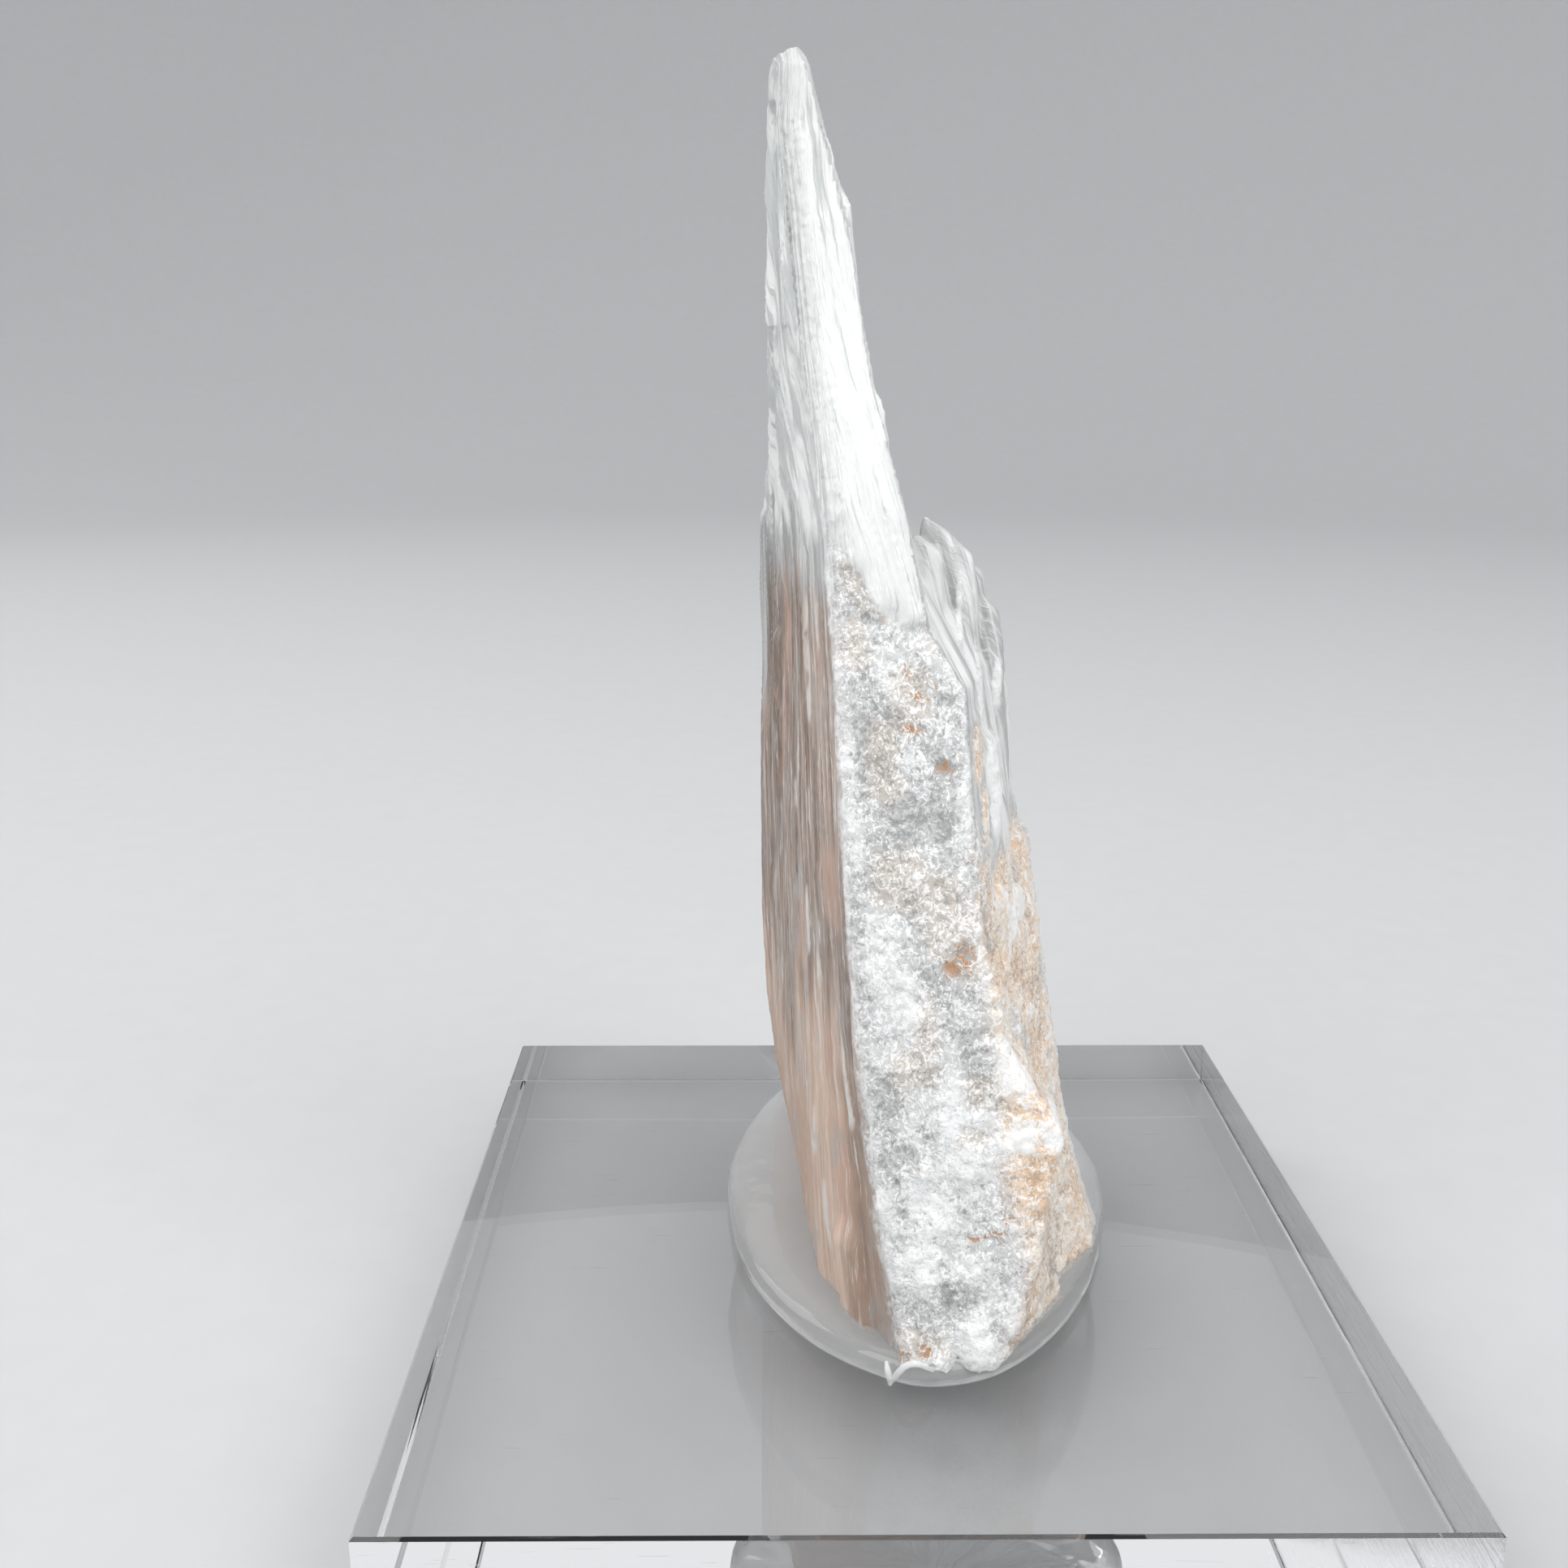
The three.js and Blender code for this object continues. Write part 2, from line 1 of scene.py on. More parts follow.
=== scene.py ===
"""A selenite crystal in a clear gel pad on a clear acrylic block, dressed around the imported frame.

Blender 4.5. The scene is in metres. Places on the crystal are worked out in millimetres, in
the same frame: the origin is the middle of the block's underside, +Z is up and the crystal's
narrow front face looks along -Y.
"""

import math

import bpy
import numpy as np
from mathutils import Matrix, Vector


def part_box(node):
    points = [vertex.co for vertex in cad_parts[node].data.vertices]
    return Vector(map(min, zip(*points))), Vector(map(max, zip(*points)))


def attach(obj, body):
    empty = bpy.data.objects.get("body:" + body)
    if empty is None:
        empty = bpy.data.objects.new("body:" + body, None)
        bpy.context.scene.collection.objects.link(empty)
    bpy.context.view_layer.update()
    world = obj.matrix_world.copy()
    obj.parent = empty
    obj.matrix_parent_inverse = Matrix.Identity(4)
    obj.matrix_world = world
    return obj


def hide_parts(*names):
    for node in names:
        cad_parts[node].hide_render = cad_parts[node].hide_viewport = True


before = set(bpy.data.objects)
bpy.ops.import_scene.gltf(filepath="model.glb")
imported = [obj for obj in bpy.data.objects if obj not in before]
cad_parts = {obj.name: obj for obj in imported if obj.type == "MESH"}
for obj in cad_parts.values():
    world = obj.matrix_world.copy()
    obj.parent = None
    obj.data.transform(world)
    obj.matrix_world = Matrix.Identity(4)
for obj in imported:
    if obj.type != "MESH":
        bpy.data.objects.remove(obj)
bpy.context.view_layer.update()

MM = 0.001

# Camera of the photograph

IMAGE_SIZE = 1932
FOCAL_PIXELS = 1960.4
SENSOR_WIDTH = 36.0
CAMERA_PLACE = (-7.014 * MM, -83.692 * MM, 58.369 * MM)
CAMERA_PITCH = math.radians(15.48)
CAMERA_YAW = math.radians(0.532)
CAMERA_ROLL = math.radians(0.167)
CLIP_START = 0.005

# The crystal's long edges, each as (height, x, y) in millimetres, from the foot to the tip

FRONT_LEFT = [
    (9, -0.6, -14.4), (14, -1.3, -13.9), (24, -2.6, -12.6), (33, -3.4, -11.4), (42.5, -3.9, -9.5),
    (51, -4.5, -7.6), (58.5, -5.6, -4.6), (68.5, -6.7, -1.9), (71.4, -6.5, -1.1),
]
FRONT_RIGHT = [
    (9, 4.4, -15), (14, 6.2, -14.5), (20.4, 7.2, -13.7), (25, 4.7, -13.1), (29.5, 3.1, -12.2),
    (42.5, 2.4, -9.8), (45.6, 0.3, -8.8), (51, -0.9, -7.5), (58, -2.3, -4.9), (65, -3.4, -2.7),
    (71.4, -5.2, -1.1),
]
RIGHT_MIDDLE = [
    (9, 10.4, -5.4), (20, 7.4, -5.4), (34.5, 5.2, -4.4), (42.5, 3.9, -3.6), (48, 0.2, -3),
    (51, -1, -3.4), (65.4, -3.7, -1.5), (71.4, -5.15, -0.7),
]
RIGHT = [
    (9, 11.5, -1.9), (24, 8.3, -0.6), (33, 7, 0.1), (38.5, 5.7, 0.4), (43, 4.7, 0.7),
    (48, 0.2, 0.5), (51.5, -1.4, -0.5), (65.4, -3.7, -0.6), (71.4, -5.1, -0.3),
]
BACK_RIGHT = [
    (9, 10.6, 7.5), (31, 6.6, 8.4), (43, 2.8, 5.4), (51.5, -2.1, 2.4), (71.4, -5.2, 0.4),
]
BACK = [
    (9, 2.8, 16), (20, 1.6, 16.4), (37, -1.4, 11.6), (50, -4, 4.6), (58, -4.6, 2.3),
    (71.4, -5.9, 0.9),
]
BACK_LEFT = [
    (9, -6, 14.8), (27, -7.5, 13.7), (38, -7.4, 11.7), (49, -7.45, 5.6), (59, -7.2, 2.2),
    (71.4, -6.9, 0.8),
]
LEFT_MIDDLE = [
    (9, -4.3, -7.2), (28, -5.1, -5), (47, -5.6, -2.2), (58, -6.5, -0.8), (71.4, -6.75, -0.1),
]

# Where the white flap of the spire ends over the front face, as (x, height)
FLAP_EDGE = [
    (-4.8, 53), (-4.4, 50.5), (-2.7, 48.1), (-2.1, 46.6), (-1.2, 45.9), (0.6, 45.3), (2, 46),
]

# Rust stains on the front, as (x, height, half width, half height)
RUST_SPOTS = [
    (-0.2, 40.7, 0.6, 0.3), (-0.5, 43.2, 0.2, 0.5), (0.1, 42.2, 0.35, 0.35), (1.3, 38.9, 0.4, 0.4),
    (-1.6, 45.7, 0.25, 0.25), (2.4, 30, 0.5, 0.7), (1.7, 29.4, 0.5, 0.4), (5.4, 17.7, 0.35, 0.4),
    (4.7, 16.9, 0.5, 0.25), (4.1, 16.2, 0.4, 0.2), (3.2, 15.9, 0.9, 0.14), (4.8, 21.1, 0.4, 0.25),
    (-0.8, 9.6, 0.9, 0.4), (0.6, 9.8, 0.7, 0.3),
]
# Beige, grey and white patches of the front, the same way
BEIGE_PATCHES = [
    (-0.3, 42, 1.1, 1.9), (-1.7, 39.6, 0.9, 1.6), (-1.5, 38, 0.9, 0.9), (-2.9, 48, 0.9, 1.3),
    (-2.2, 46.5, 0.7, 0.7), (-0.8, 33.6, 1.5, 1.6), (0.8, 33, 1.6, 1.2), (1.6, 31.4, 1.4, 1.6),
    (2.4, 30, 1, 1.3), (0.6, 25.6, 0.7, 2.3), (-0.4, 24.4, 0.9, 1), (3.2, 23.4, 0.9, 0.9),
    (2.7, 20.9, 0.9, 0.8), (0.2, 10.4, 2, 0.8), (-3, 44.5, 0.8, 1.2), (1, 45, 1, 0.7),
]
GREY_PATCHES = [
    (-2.6, 41.2, 0.7, 2.4), (-1.7, 40.4, 0.9, 1.8), (-0.8, 19.6, 1.2, 1.3), (1.9, 12.6, 1.6, 1.3),
    (3.1, 25, 1, 1.6), (-1.2, 36, 1.2, 1.4), (1, 36.4, 1, 1), (-1.2, 22.4, 0.8, 1.6),
    (0.4, 28.4, 0.6, 1),
]
WHITE_PATCHES = [
    (-1.5, 30.6, 1.1, 1.6), (-1, 28, 1.6, 1.7), (-1.6, 46.6, 1, 0.8), (3.2, 20, 1.8, 1.1),
    (1.1, 17.6, 1.2, 2.4), (0.3, 14.2, 1.2, 1.8), (3.2, 10.5, 1.1, 1.6), (5.8, 20.2, 1.5, 1.3),
    (3.6, 21.9, 1.6, 0.6), (1.8, 22.6, 0.7, 1.6), (-3.2, 39.3, 0.5, 2.4), (-3.2, 35, 0.7, 2),
    (2.2, 36, 0.5, 2.6), (4.6, 24.2, 0.5, 1.8), (5.2, 12, 0.7, 1.6), (-1.4, 16.4, 0.6, 3),
]
# White patches of the right face, as (y, height, half width, half height)
WHITE_ON_RIGHT = [
    (-5.4, 30.3, 1.2, 0.9), (-7.4, 29.9, 0.8, 1.1), (-8.6, 31.4, 0.5, 0.9), (-9.2, 34.5, 0.6, 1.6),
    (-6.4, 24.5, 0.8, 0.5), (-12.4, 21, 2, 1.3), (-13, 24.4, 0.7, 1.8), (-12.2, 27.2, 0.7, 1.4),
    (-10.4, 20.8, 1, 0.6),
]
# White and tan patches of the lobe, as (x, height, half width, half height)
WHITE_ON_LOBE = [
    (4.35, 37.3, 0.6, 2.3), (4.7, 41.5, 0.25, 1.6), (3.5, 42.2, 0.2, 2.2), (2.6, 45.5, 0.2, 2),
]
TAN_ON_LOBE = [(3.1, 39.2, 0.4, 1.7), (3.5, 36.4, 0.25, 1.6)]
# Pale and red-brown streaks of the left face, as (share across it from the middle edge, lowest
# height, highest height, half width)
PALE_STREAKS = [
    (-0.06, 36.2, 39, 0.22), (-0.2, 34.9, 36, 0.2), (0.11, 31, 35.8, 0.24), (0.15, 28, 31.2, 0.2),
    (0.42, 28.6, 29.9, 0.22), (0.3, 26.6, 28, 0.22), (0.3, 40, 46, 0.2), (0.5, 42.5, 47, 0.18),
    (0.14, 43, 50, 0.22), (0.62, 44, 46, 0.2), (0.34, 47, 53, 0.25), (0.27, 21.5, 25.5, 0.25),
    (0.74, 20.5, 24.5, 0.2), (0.1, 17, 20, 0.3), (0.22, 12, 15.5, 0.35), (-0.14, 18.4, 20, 0.2),
]
RED_STREAKS = [
    (-0.15, 26.4, 30.4, 0.9), (0.68, 30.6, 34.4, 1.3), (-0.2, 18, 21, 0.8),
    (-0.04, 14.6, 17.6, 0.6), (0.5, 14, 20, 0.9), (0.45, 22, 25, 0.6), (-0.35, 40, 45, 0.8),
]


def ease(low, high, value):
    """0 below low, 1 above high, smooth between. low may be the larger."""
    share = np.clip((value - low) / (high - low), 0, 1)
    return share * share * (3 - 2 * share)


# Repeatable noise

# Large whole numbers that scramble a cell's place and the seed, and the bits that are kept
CELL_FACTORS = (73856093, 19349663, 83492791)
SEED_FACTOR = 2654435761
MIXING_FACTORS = (1274126177, 668265263)
KEPT_BITS = 0x7FFFFFFF
# How far each layer of noise is moved away from the one before it
LAYER_SHIFT = 17.3
CREASE_SHIFT = 9.1
# One seed for each use of the noise
SEEDS = {
    "strands": 3, "threads": 13, "fan_strands": 23, "fan_threads": 27, "fibre": 31, "leaning": 33,
    "broken_streaks": 37, "blotch": 41, "fine": 47, "cloud": 53, "crumble": 61, "grains": 71,
    "flakes": 81,
}


def hashed(cells, seed):
    """A number from -1 to 1 for each whole-number cell."""
    x, y, z = (cells[:, axis] * factor for axis, factor in enumerate(CELL_FACTORS))
    mixed = (x ^ y ^ z ^ seed * SEED_FACTOR) & KEPT_BITS
    mixed = (mixed ^ (mixed >> 13)) * MIXING_FACTORS[0] & KEPT_BITS
    mixed = (mixed ^ (mixed >> 16)) * MIXING_FACTORS[1] & KEPT_BITS
    return (mixed ^ (mixed >> 11)) / (KEPT_BITS // 2) - 1


def noise(points, seed):
    """Smooth noise from -1 to 1 with cells one unit wide."""
    cells = np.floor(points).astype(np.int64)
    share = points - cells
    share = share * share * (3 - 2 * share)
    total = np.zeros(len(points))
    for corner in np.ndindex(2, 2, 2):
        offset = np.array(corner)
        weight = np.prod(np.where(offset, share, 1 - share), axis=1)
        total += weight * hashed(cells + offset, seed)
    return total


def layered(points, seed, layers=3, gain=0.5):
    """Layers of noise, each twice as fine as the last, in about -1 to 1."""
    total = np.zeros(len(points))
    reach = 0
    for layer in range(layers):
        total += gain**layer * noise(points * 2**layer + LAYER_SHIFT * layer, seed + layer)
        reach += gain**layer
    return total / reach


def creased(points, seed, layers=3, gain=0.55):
    """Noise with sharp crests, from 0 to 1."""
    total = np.zeros(len(points))
    reach = 0
    for layer in range(layers):
        crest = 1 - np.abs(noise(points * 2**layer + CREASE_SHIFT * layer, seed + layer))
        total += gain**layer * crest
        reach += gain**layer
    return total / reach


# Meshes

def mesh_from(name, vertices, faces):
    """A smooth-shaded object in the scene."""
    mesh = bpy.data.meshes.new(name)
    mesh.from_pydata([tuple(vertex) for vertex in vertices], [], faces)
    mesh.update()
    made = bpy.data.objects.new(name, mesh)
    bpy.context.scene.collection.objects.link(made)
    mesh.polygons.foreach_set("use_smooth", [True] * len(mesh.polygons))
    return made


def places_of(mesh):
    """The vertices as rows of x, y, z in millimetres."""
    flat = np.empty(len(mesh.vertices) * 3)
    mesh.vertices.foreach_get("co", flat)
    return flat.reshape(-1, 3) / MM


def set_places(mesh, places):
    mesh.vertices.foreach_set("co", (places * MM).ravel())
    mesh.update()


def normals_of(mesh):
    flat = np.empty(len(mesh.vertices) * 3)
    mesh.vertices.foreach_get("normal", flat)
    return flat.reshape(-1, 3)


def apply_modifiers(thing):
    """Gives the object the mesh that its modifiers make, and takes them off."""
    graph = bpy.context.evaluated_depsgraph_get()
    made = bpy.data.meshes.new_from_object(thing.evaluated_get(graph))
    thing.modifiers.clear()
    thing.data = made


# Faces of the crystal

# Each as its two long edges, in their order round the crystal as it is seen from above
FACES = {
    "front": (FRONT_LEFT, FRONT_RIGHT),
    "right": (FRONT_RIGHT, RIGHT_MIDDLE),
    "right_rear": (RIGHT_MIDDLE, RIGHT),
    "back_right": (RIGHT, BACK_RIGHT),
    "back": (BACK_RIGHT, BACK),
    "back_left": (BACK, BACK_LEFT),
    "left_rear": (BACK_LEFT, LEFT_MIDDLE),
    "left": (LEFT_MIDDLE, FRONT_LEFT),
}
# How far one face fades into the next, in millimetres, and the same for the softening
FACE_BLEND = 0.22
WIDE_FACE_BLEND = 0.6
# The faces from the back edge round by the left, for one running place across the fibres
ROUND = ("back_left", "left_rear", "left", "front", "right", "right_rear", "back_right", "back")
REFERENCE_HEIGHT = 30
# How far a place may run past a face's edges, as a share of its width
PAST_EDGE = 0.3
# From the right face round the back to its left, the running place is the turn about the
# crystal's middle at this radius, and it moves sideways by the lean for each millimetre up
TURN_RADIUS = 11
TURN_LEAN = 0.1
# The lobe's own place across its ribs: x, a share of the depth, and the lean for each millimetre up
LOBE_DEPTH = 0.4
LOBE_LEAN = 0.2
# How far the spire's fibres have moved sideways at each height, and what share of the depth
# behind the front left edge adds to their place
FAN_HEIGHTS = [40, 58, 66, 73]
FAN_SHIFTS = [0, 5.4, 6.6, 7.1]
FAN_DEPTH = 0.9


def edge_at(edge, heights):
    """The x and y of a long edge at each height."""
    levels, xs, ys = np.array(edge, float).T
    return np.interp(heights, levels, xs), np.interp(heights, levels, ys)


def face_places(places, face):
    """How far each point stands over a face, and its share across the face."""
    from_x, from_y = edge_at(face[0], places[:, 2])
    to_x, to_y = edge_at(face[1], places[:, 2])
    length = np.maximum(np.hypot(to_x - from_x, to_y - from_y), 0.1)
    along_x = (to_x - from_x) / length
    along_y = (to_y - from_y) / length
    rel_x = places[:, 0] - from_x
    rel_y = places[:, 1] - from_y
    return rel_x * along_y - rel_y * along_x, (rel_x * along_x + rel_y * along_y) / length


def face_weights(places, blend=FACE_BLEND):
    """The share of each face at each point: a point belongs to the face that it is nearest to."""
    over = np.stack([face_places(places, face)[0] for face in FACES.values()])
    weights = np.exp((over - over.max(0)) / blend)
    weights /= weights.sum(0)
    return dict(zip(FACES, weights))


def perimeter(places):
    """The running place across the fibres, which stays the same along a fibre.

    On the left and the front it is the distance round the crystal from its back edge at the
    reference height. From the right face round the back it is the turn about the middle.
    """
    over, share = zip(*(face_places(places, FACES[name]) for name in ROUND))
    nearest = np.argmax(np.stack(over), axis=0)
    widths = []
    for name in ROUND:
        (from_x, from_y), (to_x, to_y) = (edge_at(edge, REFERENCE_HEIGHT) for edge in FACES[name])
        widths.append(math.hypot(to_x - from_x, to_y - from_y))
    starts = np.concatenate([[0], np.cumsum(widths)[:-1]])
    own_share = np.stack(share)[nearest, np.arange(len(places))]
    own_share = np.clip(own_share, -PAST_EDGE, 1 + PAST_EDGE)
    round_place = starts[nearest] + own_share * np.array(widths)[nearest]
    x, y, z = places.T
    sides = [edge_at(edge, z) for edge in (FRONT_LEFT, RIGHT, BACK, BACK_LEFT)]
    middle_x, middle_y = np.mean(sides, axis=0)
    turned_place = TURN_RADIUS * np.arctan2(y - middle_y, x - middle_x) + TURN_LEAN * z
    turned = (nearest >= ROUND.index("right")) | (nearest == ROUND.index("back_left"))
    return np.where(turned, turned_place, round_place)


def fanned(places):
    """Places across the spire, sheared so that its fibres run down and to the right in front."""
    x, y, z = places.T
    edge_x, edge_y = edge_at(FRONT_LEFT, z)
    run = np.interp(z, FAN_HEIGHTS, FAN_SHIFTS)
    return x + FAN_DEPTH * (y - edge_y) + run * ease(-0.3, 1.2, x - edge_x)


def patched(x, z, patches, wobble, rim=1.25, core=0.6):
    """1 inside any of the ellipses, fading to 0 at their ragged rims."""
    total = np.zeros(len(x))
    for patch_x, patch_z, half_width, half_height in patches:
        away = np.hypot((x - patch_x) / half_width, (z - patch_z) / half_height)
        total = np.maximum(total, ease(rim, core, away + wobble))
    return total


def streaked(share, z, width, streaks, wobble):
    """1 on any of the streaks of a face that is width across, fading to 0 at their rims."""
    total = np.zeros(len(z))
    for place, low, high, half_width in streaks:
        across = np.abs(share - place) * width / half_width + wobble
        ends = ease(low - 0.6, low + 0.5, z) * ease(high + 0.6, high - 0.5, z)
        total = np.maximum(total, ease(1.3, 0.5, across) * ends)
    return total


# Heights in millimetres: where the spire begins on the left and on the right, where the taupe
# of the left face ends, and where the etched crust of the right face ends under the lobe
SPIRE_FROM_LEFT = 50
SPIRE_FROM_RIGHT = 50.5
TAUPE_TO = 47.3
CRUST_TO = 33.9


def crystal_zones(places):
    """What the crystal is like at each point.

    Most are shares from 0 to 1. The places "fibre", "fan" and "lean" run across the fibres of
    the long faces, the spire and the lobe, in millimetres.
    """
    x, y, z = places.T
    faces = face_weights(places)
    front = faces["front"]
    right = faces["right"] + faces["right_rear"]
    left = faces["left"] + faces["left_rear"]
    round_place = perimeter(places)
    strands = np.stack([round_place * 1.1, np.zeros(len(z)), z * 0.08], axis=1)
    fibre = layered(strands, SEEDS["fibre"])
    blotch = layered(places * 0.35, SEEDS["blotch"])
    fine = layered(places * 1.3, SEEDS["fine"])

    # The main zones and their ragged ends
    flap_x, flap_z = np.array(FLAP_EDGE, float).T
    flap_end = np.interp(x, flap_x, flap_z) + 0.7 * fibre + 0.5 * fine
    left_end = SPIRE_FROM_LEFT + 2.5 * fibre
    right_end = SPIRE_FROM_RIGHT + 0.8 * fine
    end = flap_end * front + left_end * left + right_end * (1 - front - left)
    spire = ease(-0.6, 0.7, z - end)
    etched_right = right * ease(0.8, -0.8, z - CRUST_TO - 1.6 * fine - 1.2 * ease(4.4, 3.4, x))
    etched = np.clip(front + etched_right, 0, 1) * (1 - spire)
    taupe = left * ease(1.2, -2, z - TAUPE_TO - 1.8 * fibre)
    tan = etched_right * ease(-0.75, -0.1, blotch + 0.5 * fine)

    # Patches of the etched faces
    wobble = 0.35 * fine
    swept = np.stack([x + 0.35 * z, y, 0.4 * z], 1)
    cloud = layered(swept * 1.1, SEEDS["cloud"])
    white = 0.3 + 0.14 * ease(30, 20, z) + 0.38 * cloud
    beige = patched(x, z, BEIGE_PATCHES, wobble)
    white = white + 0.3 * patched(x, z, WHITE_PATCHES, wobble) + 0.06 * beige
    white = white - 0.3 * patched(x, z, GREY_PATCHES, wobble)
    white_lobe = patched(x, z, WHITE_ON_LOBE, wobble) * right * ease(34, 35, z)
    white_right = 0.32 + 0.5 * cloud + 0.8 * patched(y, z, WHITE_ON_RIGHT, wobble) + white_lobe
    white = np.clip(white * front + white_right * right, 0, 0.9)
    warm = beige * front
    rust = patched(x, z, RUST_SPOTS, wobble, rim=1.8, core=0.2) * front
    lens = patched(x, z, TAN_ON_LOBE, wobble) * right
    etched = np.maximum(etched, np.maximum(lens, white_lobe))
    tan = np.maximum(tan, lens)

    # Streaks and shades of the left face
    width = np.hypot(*(a - b for a, b in zip(edge_at(FRONT_LEFT, z), edge_at(LEFT_MIDDLE, z))))
    share = face_places(places, FACES["left"])[1]
    pale = streaked(share, z, width, PALE_STREAKS, 0.3 * np.abs(fine)) * left
    red = streaked(share, z, width, RED_STREAKS, 0.5 * fine) * left
    crossings = np.stack([round_place * 1.5, np.zeros(len(z)), z * 0.7], 1)
    pale *= ease(-0.45, 0.05, layered(crossings, SEEDS["broken_streaks"]))
    behind = ease(0.05, -0.25, share) * left
    far_edge = ease(-6.9, -7.3, x) * ease(36, 40, z) * ease(58, 54, z)
    taupe = taupe * (1 - 0.9 * far_edge)
    from_left = x - edge_at(FRONT_LEFT, z)[0]
    dark = 0.6 * behind * ease(50, 46, z) * (1 - far_edge)
    dark = np.maximum(dark, spire * ease(1.1, -0.4, from_left) * 0.5)
    beside_edge = left * ease(0.45, 0.7, share + 0.12 * fibre) * ease(24, 21, z + 2 * fibre)
    dark = np.maximum(dark, beside_edge)
    low = left * ease(27, 17, z + 9 * fibre + 2 * blotch) * (1 - 0.5 * beside_edge)

    # The chalky rims of the front face
    edge_over, edge_share = face_places(places, FACES["front"])
    edge_width = 0.018 + 0.04 * ease(-0.3, 0.7, cloud)
    near_rim = ease(1.6, 0.4, np.abs(edge_share + 0.05 * fine) / edge_width)
    near_rim *= ease(-1.2, -0.2, edge_over)
    far_rim = ease(0.1, 0.02, np.abs(edge_share - 1 + 0.03 * fine)) * ease(44, 42, z) * front
    rim = np.maximum(near_rim, 0.8 * far_rim * ease(0.2, -0.3, fine))
    rim = rim * (1 - spire) * ease(-0.6, 0.2, fine)
    return {
        "etched": etched,
        "left": left,
        "taupe": taupe,
        "tan": tan,
        "spire": spire,
        "white": white,
        "warm": warm,
        "rust": rust,
        "pale": pale,
        "red": red,
        "dark": dark,
        "low": low,
        "rim": rim,
        "fibre": round_place,
        "fan": fanned(places),
        "lobe": right * ease(33, 36.5, z) * (1 - spire) * (1 - etched),
        "lean": x + LOBE_DEPTH * y + LOBE_LEAN * z,
    }


# The crystal

VOXEL = 0.17 * MM
MOST_TRIANGLES = 190000
SOFTEN_ROUNDS = 30
# How much each round softens, as a share: everywhere, and what the front below the flap adds
SOFTENED = 0.16
SOFTENED_MORE = 0.25

# Depths of the relief in millimetres
STRAND_DEPTH = 0.3
THREAD_DEPTH = 0.18
CRUMBLE_DEPTH = 0.1
GRAIN_DEPTH = 0.24
FLAKE_DEPTH = 0.16
WHITE_DEPTH = 0.2
RIM_DEPTH = 0.04
RUST_DEPTH = 0.1
# The creased noise's usual value, and the value that flakes stand out from
USUAL_CREASE = 0.62
FLAKES_FROM = 0.2
# The etched faces' noise is tilted, so that its cells make no level rows
CELL_TILT = np.array(Matrix.Rotation(0.6, 3, "X") @ Matrix.Rotation(0.5, 3, "Y"))


def soften(mesh, places):
    """Rounds off the flap's ledge on the front, the front below it less, and the rest slightly."""
    z = places[:, 2]
    front = face_weights(places, WIDE_FACE_BLEND)["front"]
    everywhere = SOFTENED + SOFTENED_MORE * front * ease(46, 43, z)
    amount = np.maximum(everywhere, front * ease(43.5, 44.5, z) * ease(56, 52, z))
    edges = np.empty(len(mesh.edges) * 2, dtype=np.int32)
    mesh.edges.foreach_get("vertices", edges)
    first, second = edges.reshape(-1, 2).T
    count = len(places)
    neighbours = np.bincount(first, minlength=count) + np.bincount(second, minlength=count)
    for _ in range(SOFTEN_ROUNDS):
        middle = np.empty_like(places)
        for axis in range(3):
            total = np.bincount(first, places[second, axis], count)
            total += np.bincount(second, places[first, axis], count)
            middle[:, axis] = total / neighbours
        places = places + (0.5 * amount)[:, None] * (middle - places)
    return places


def crystal_relief(places, zones):
    """How far the surface stands out or in, in millimetres: fibres, or pits where it is etched."""
    z = places[:, 2]
    etched = zones["etched"]
    flat = np.zeros(len(z))
    round_place = zones["fibre"]
    fan = zones["fan"]
    strands = creased(np.stack([round_place, flat, z * 0.05], 1), SEEDS["strands"])
    threads = creased(np.stack([round_place * 2.6, flat, z * 0.14], 1), SEEDS["threads"], layers=2)
    fanned_strands = creased(np.stack([fan * 1.3, flat, z * 0.05], 1), SEEDS["fan_strands"])
    fanned_threads = creased(np.stack([fan * 3, flat, z * 0.15], 1), SEEDS["fan_threads"], layers=2)
    leaning = creased(np.stack([zones["lean"] * 1.3, flat, z * 0.06], 1), SEEDS["leaning"])
    coarse = strands + (fanned_strands - strands) * zones["spire"]
    coarse += (leaning - coarse) * zones["lobe"]
    medium = threads + (fanned_threads - threads) * zones["spire"]
    medium += (leaning - medium) * zones["lobe"]
    fibres = STRAND_DEPTH * (coarse - USUAL_CREASE) + THREAD_DEPTH * (medium - USUAL_CREASE)
    tilted = places @ CELL_TILT
    crumble = layered(tilted * 0.8, SEEDS["crumble"], layers=2, gain=0.6)
    grains = creased(tilted * (2.2, 2.2, 1.7), SEEDS["grains"], layers=2) - USUAL_CREASE
    flakes = noise(tilted * (1.7, 1.7, 1.2), SEEDS["flakes"])
    flakes = np.maximum(flakes, FLAKES_FROM) - FLAKES_FROM
    pitted = CRUMBLE_DEPTH * crumble + GRAIN_DEPTH * grains + FLAKE_DEPTH * flakes
    relief = (1 - etched) * fibres + etched * pitted
    standing = WHITE_DEPTH * etched * (zones["white"] - 0.4) + RIM_DEPTH * zones["rim"]
    relief += standing - RUST_DEPTH * zones["rust"]
    foot = ease(8.95, 9.6, z)
    tip = 1 - 0.4 * ease(69, 71.5, z)
    return relief * foot * tip


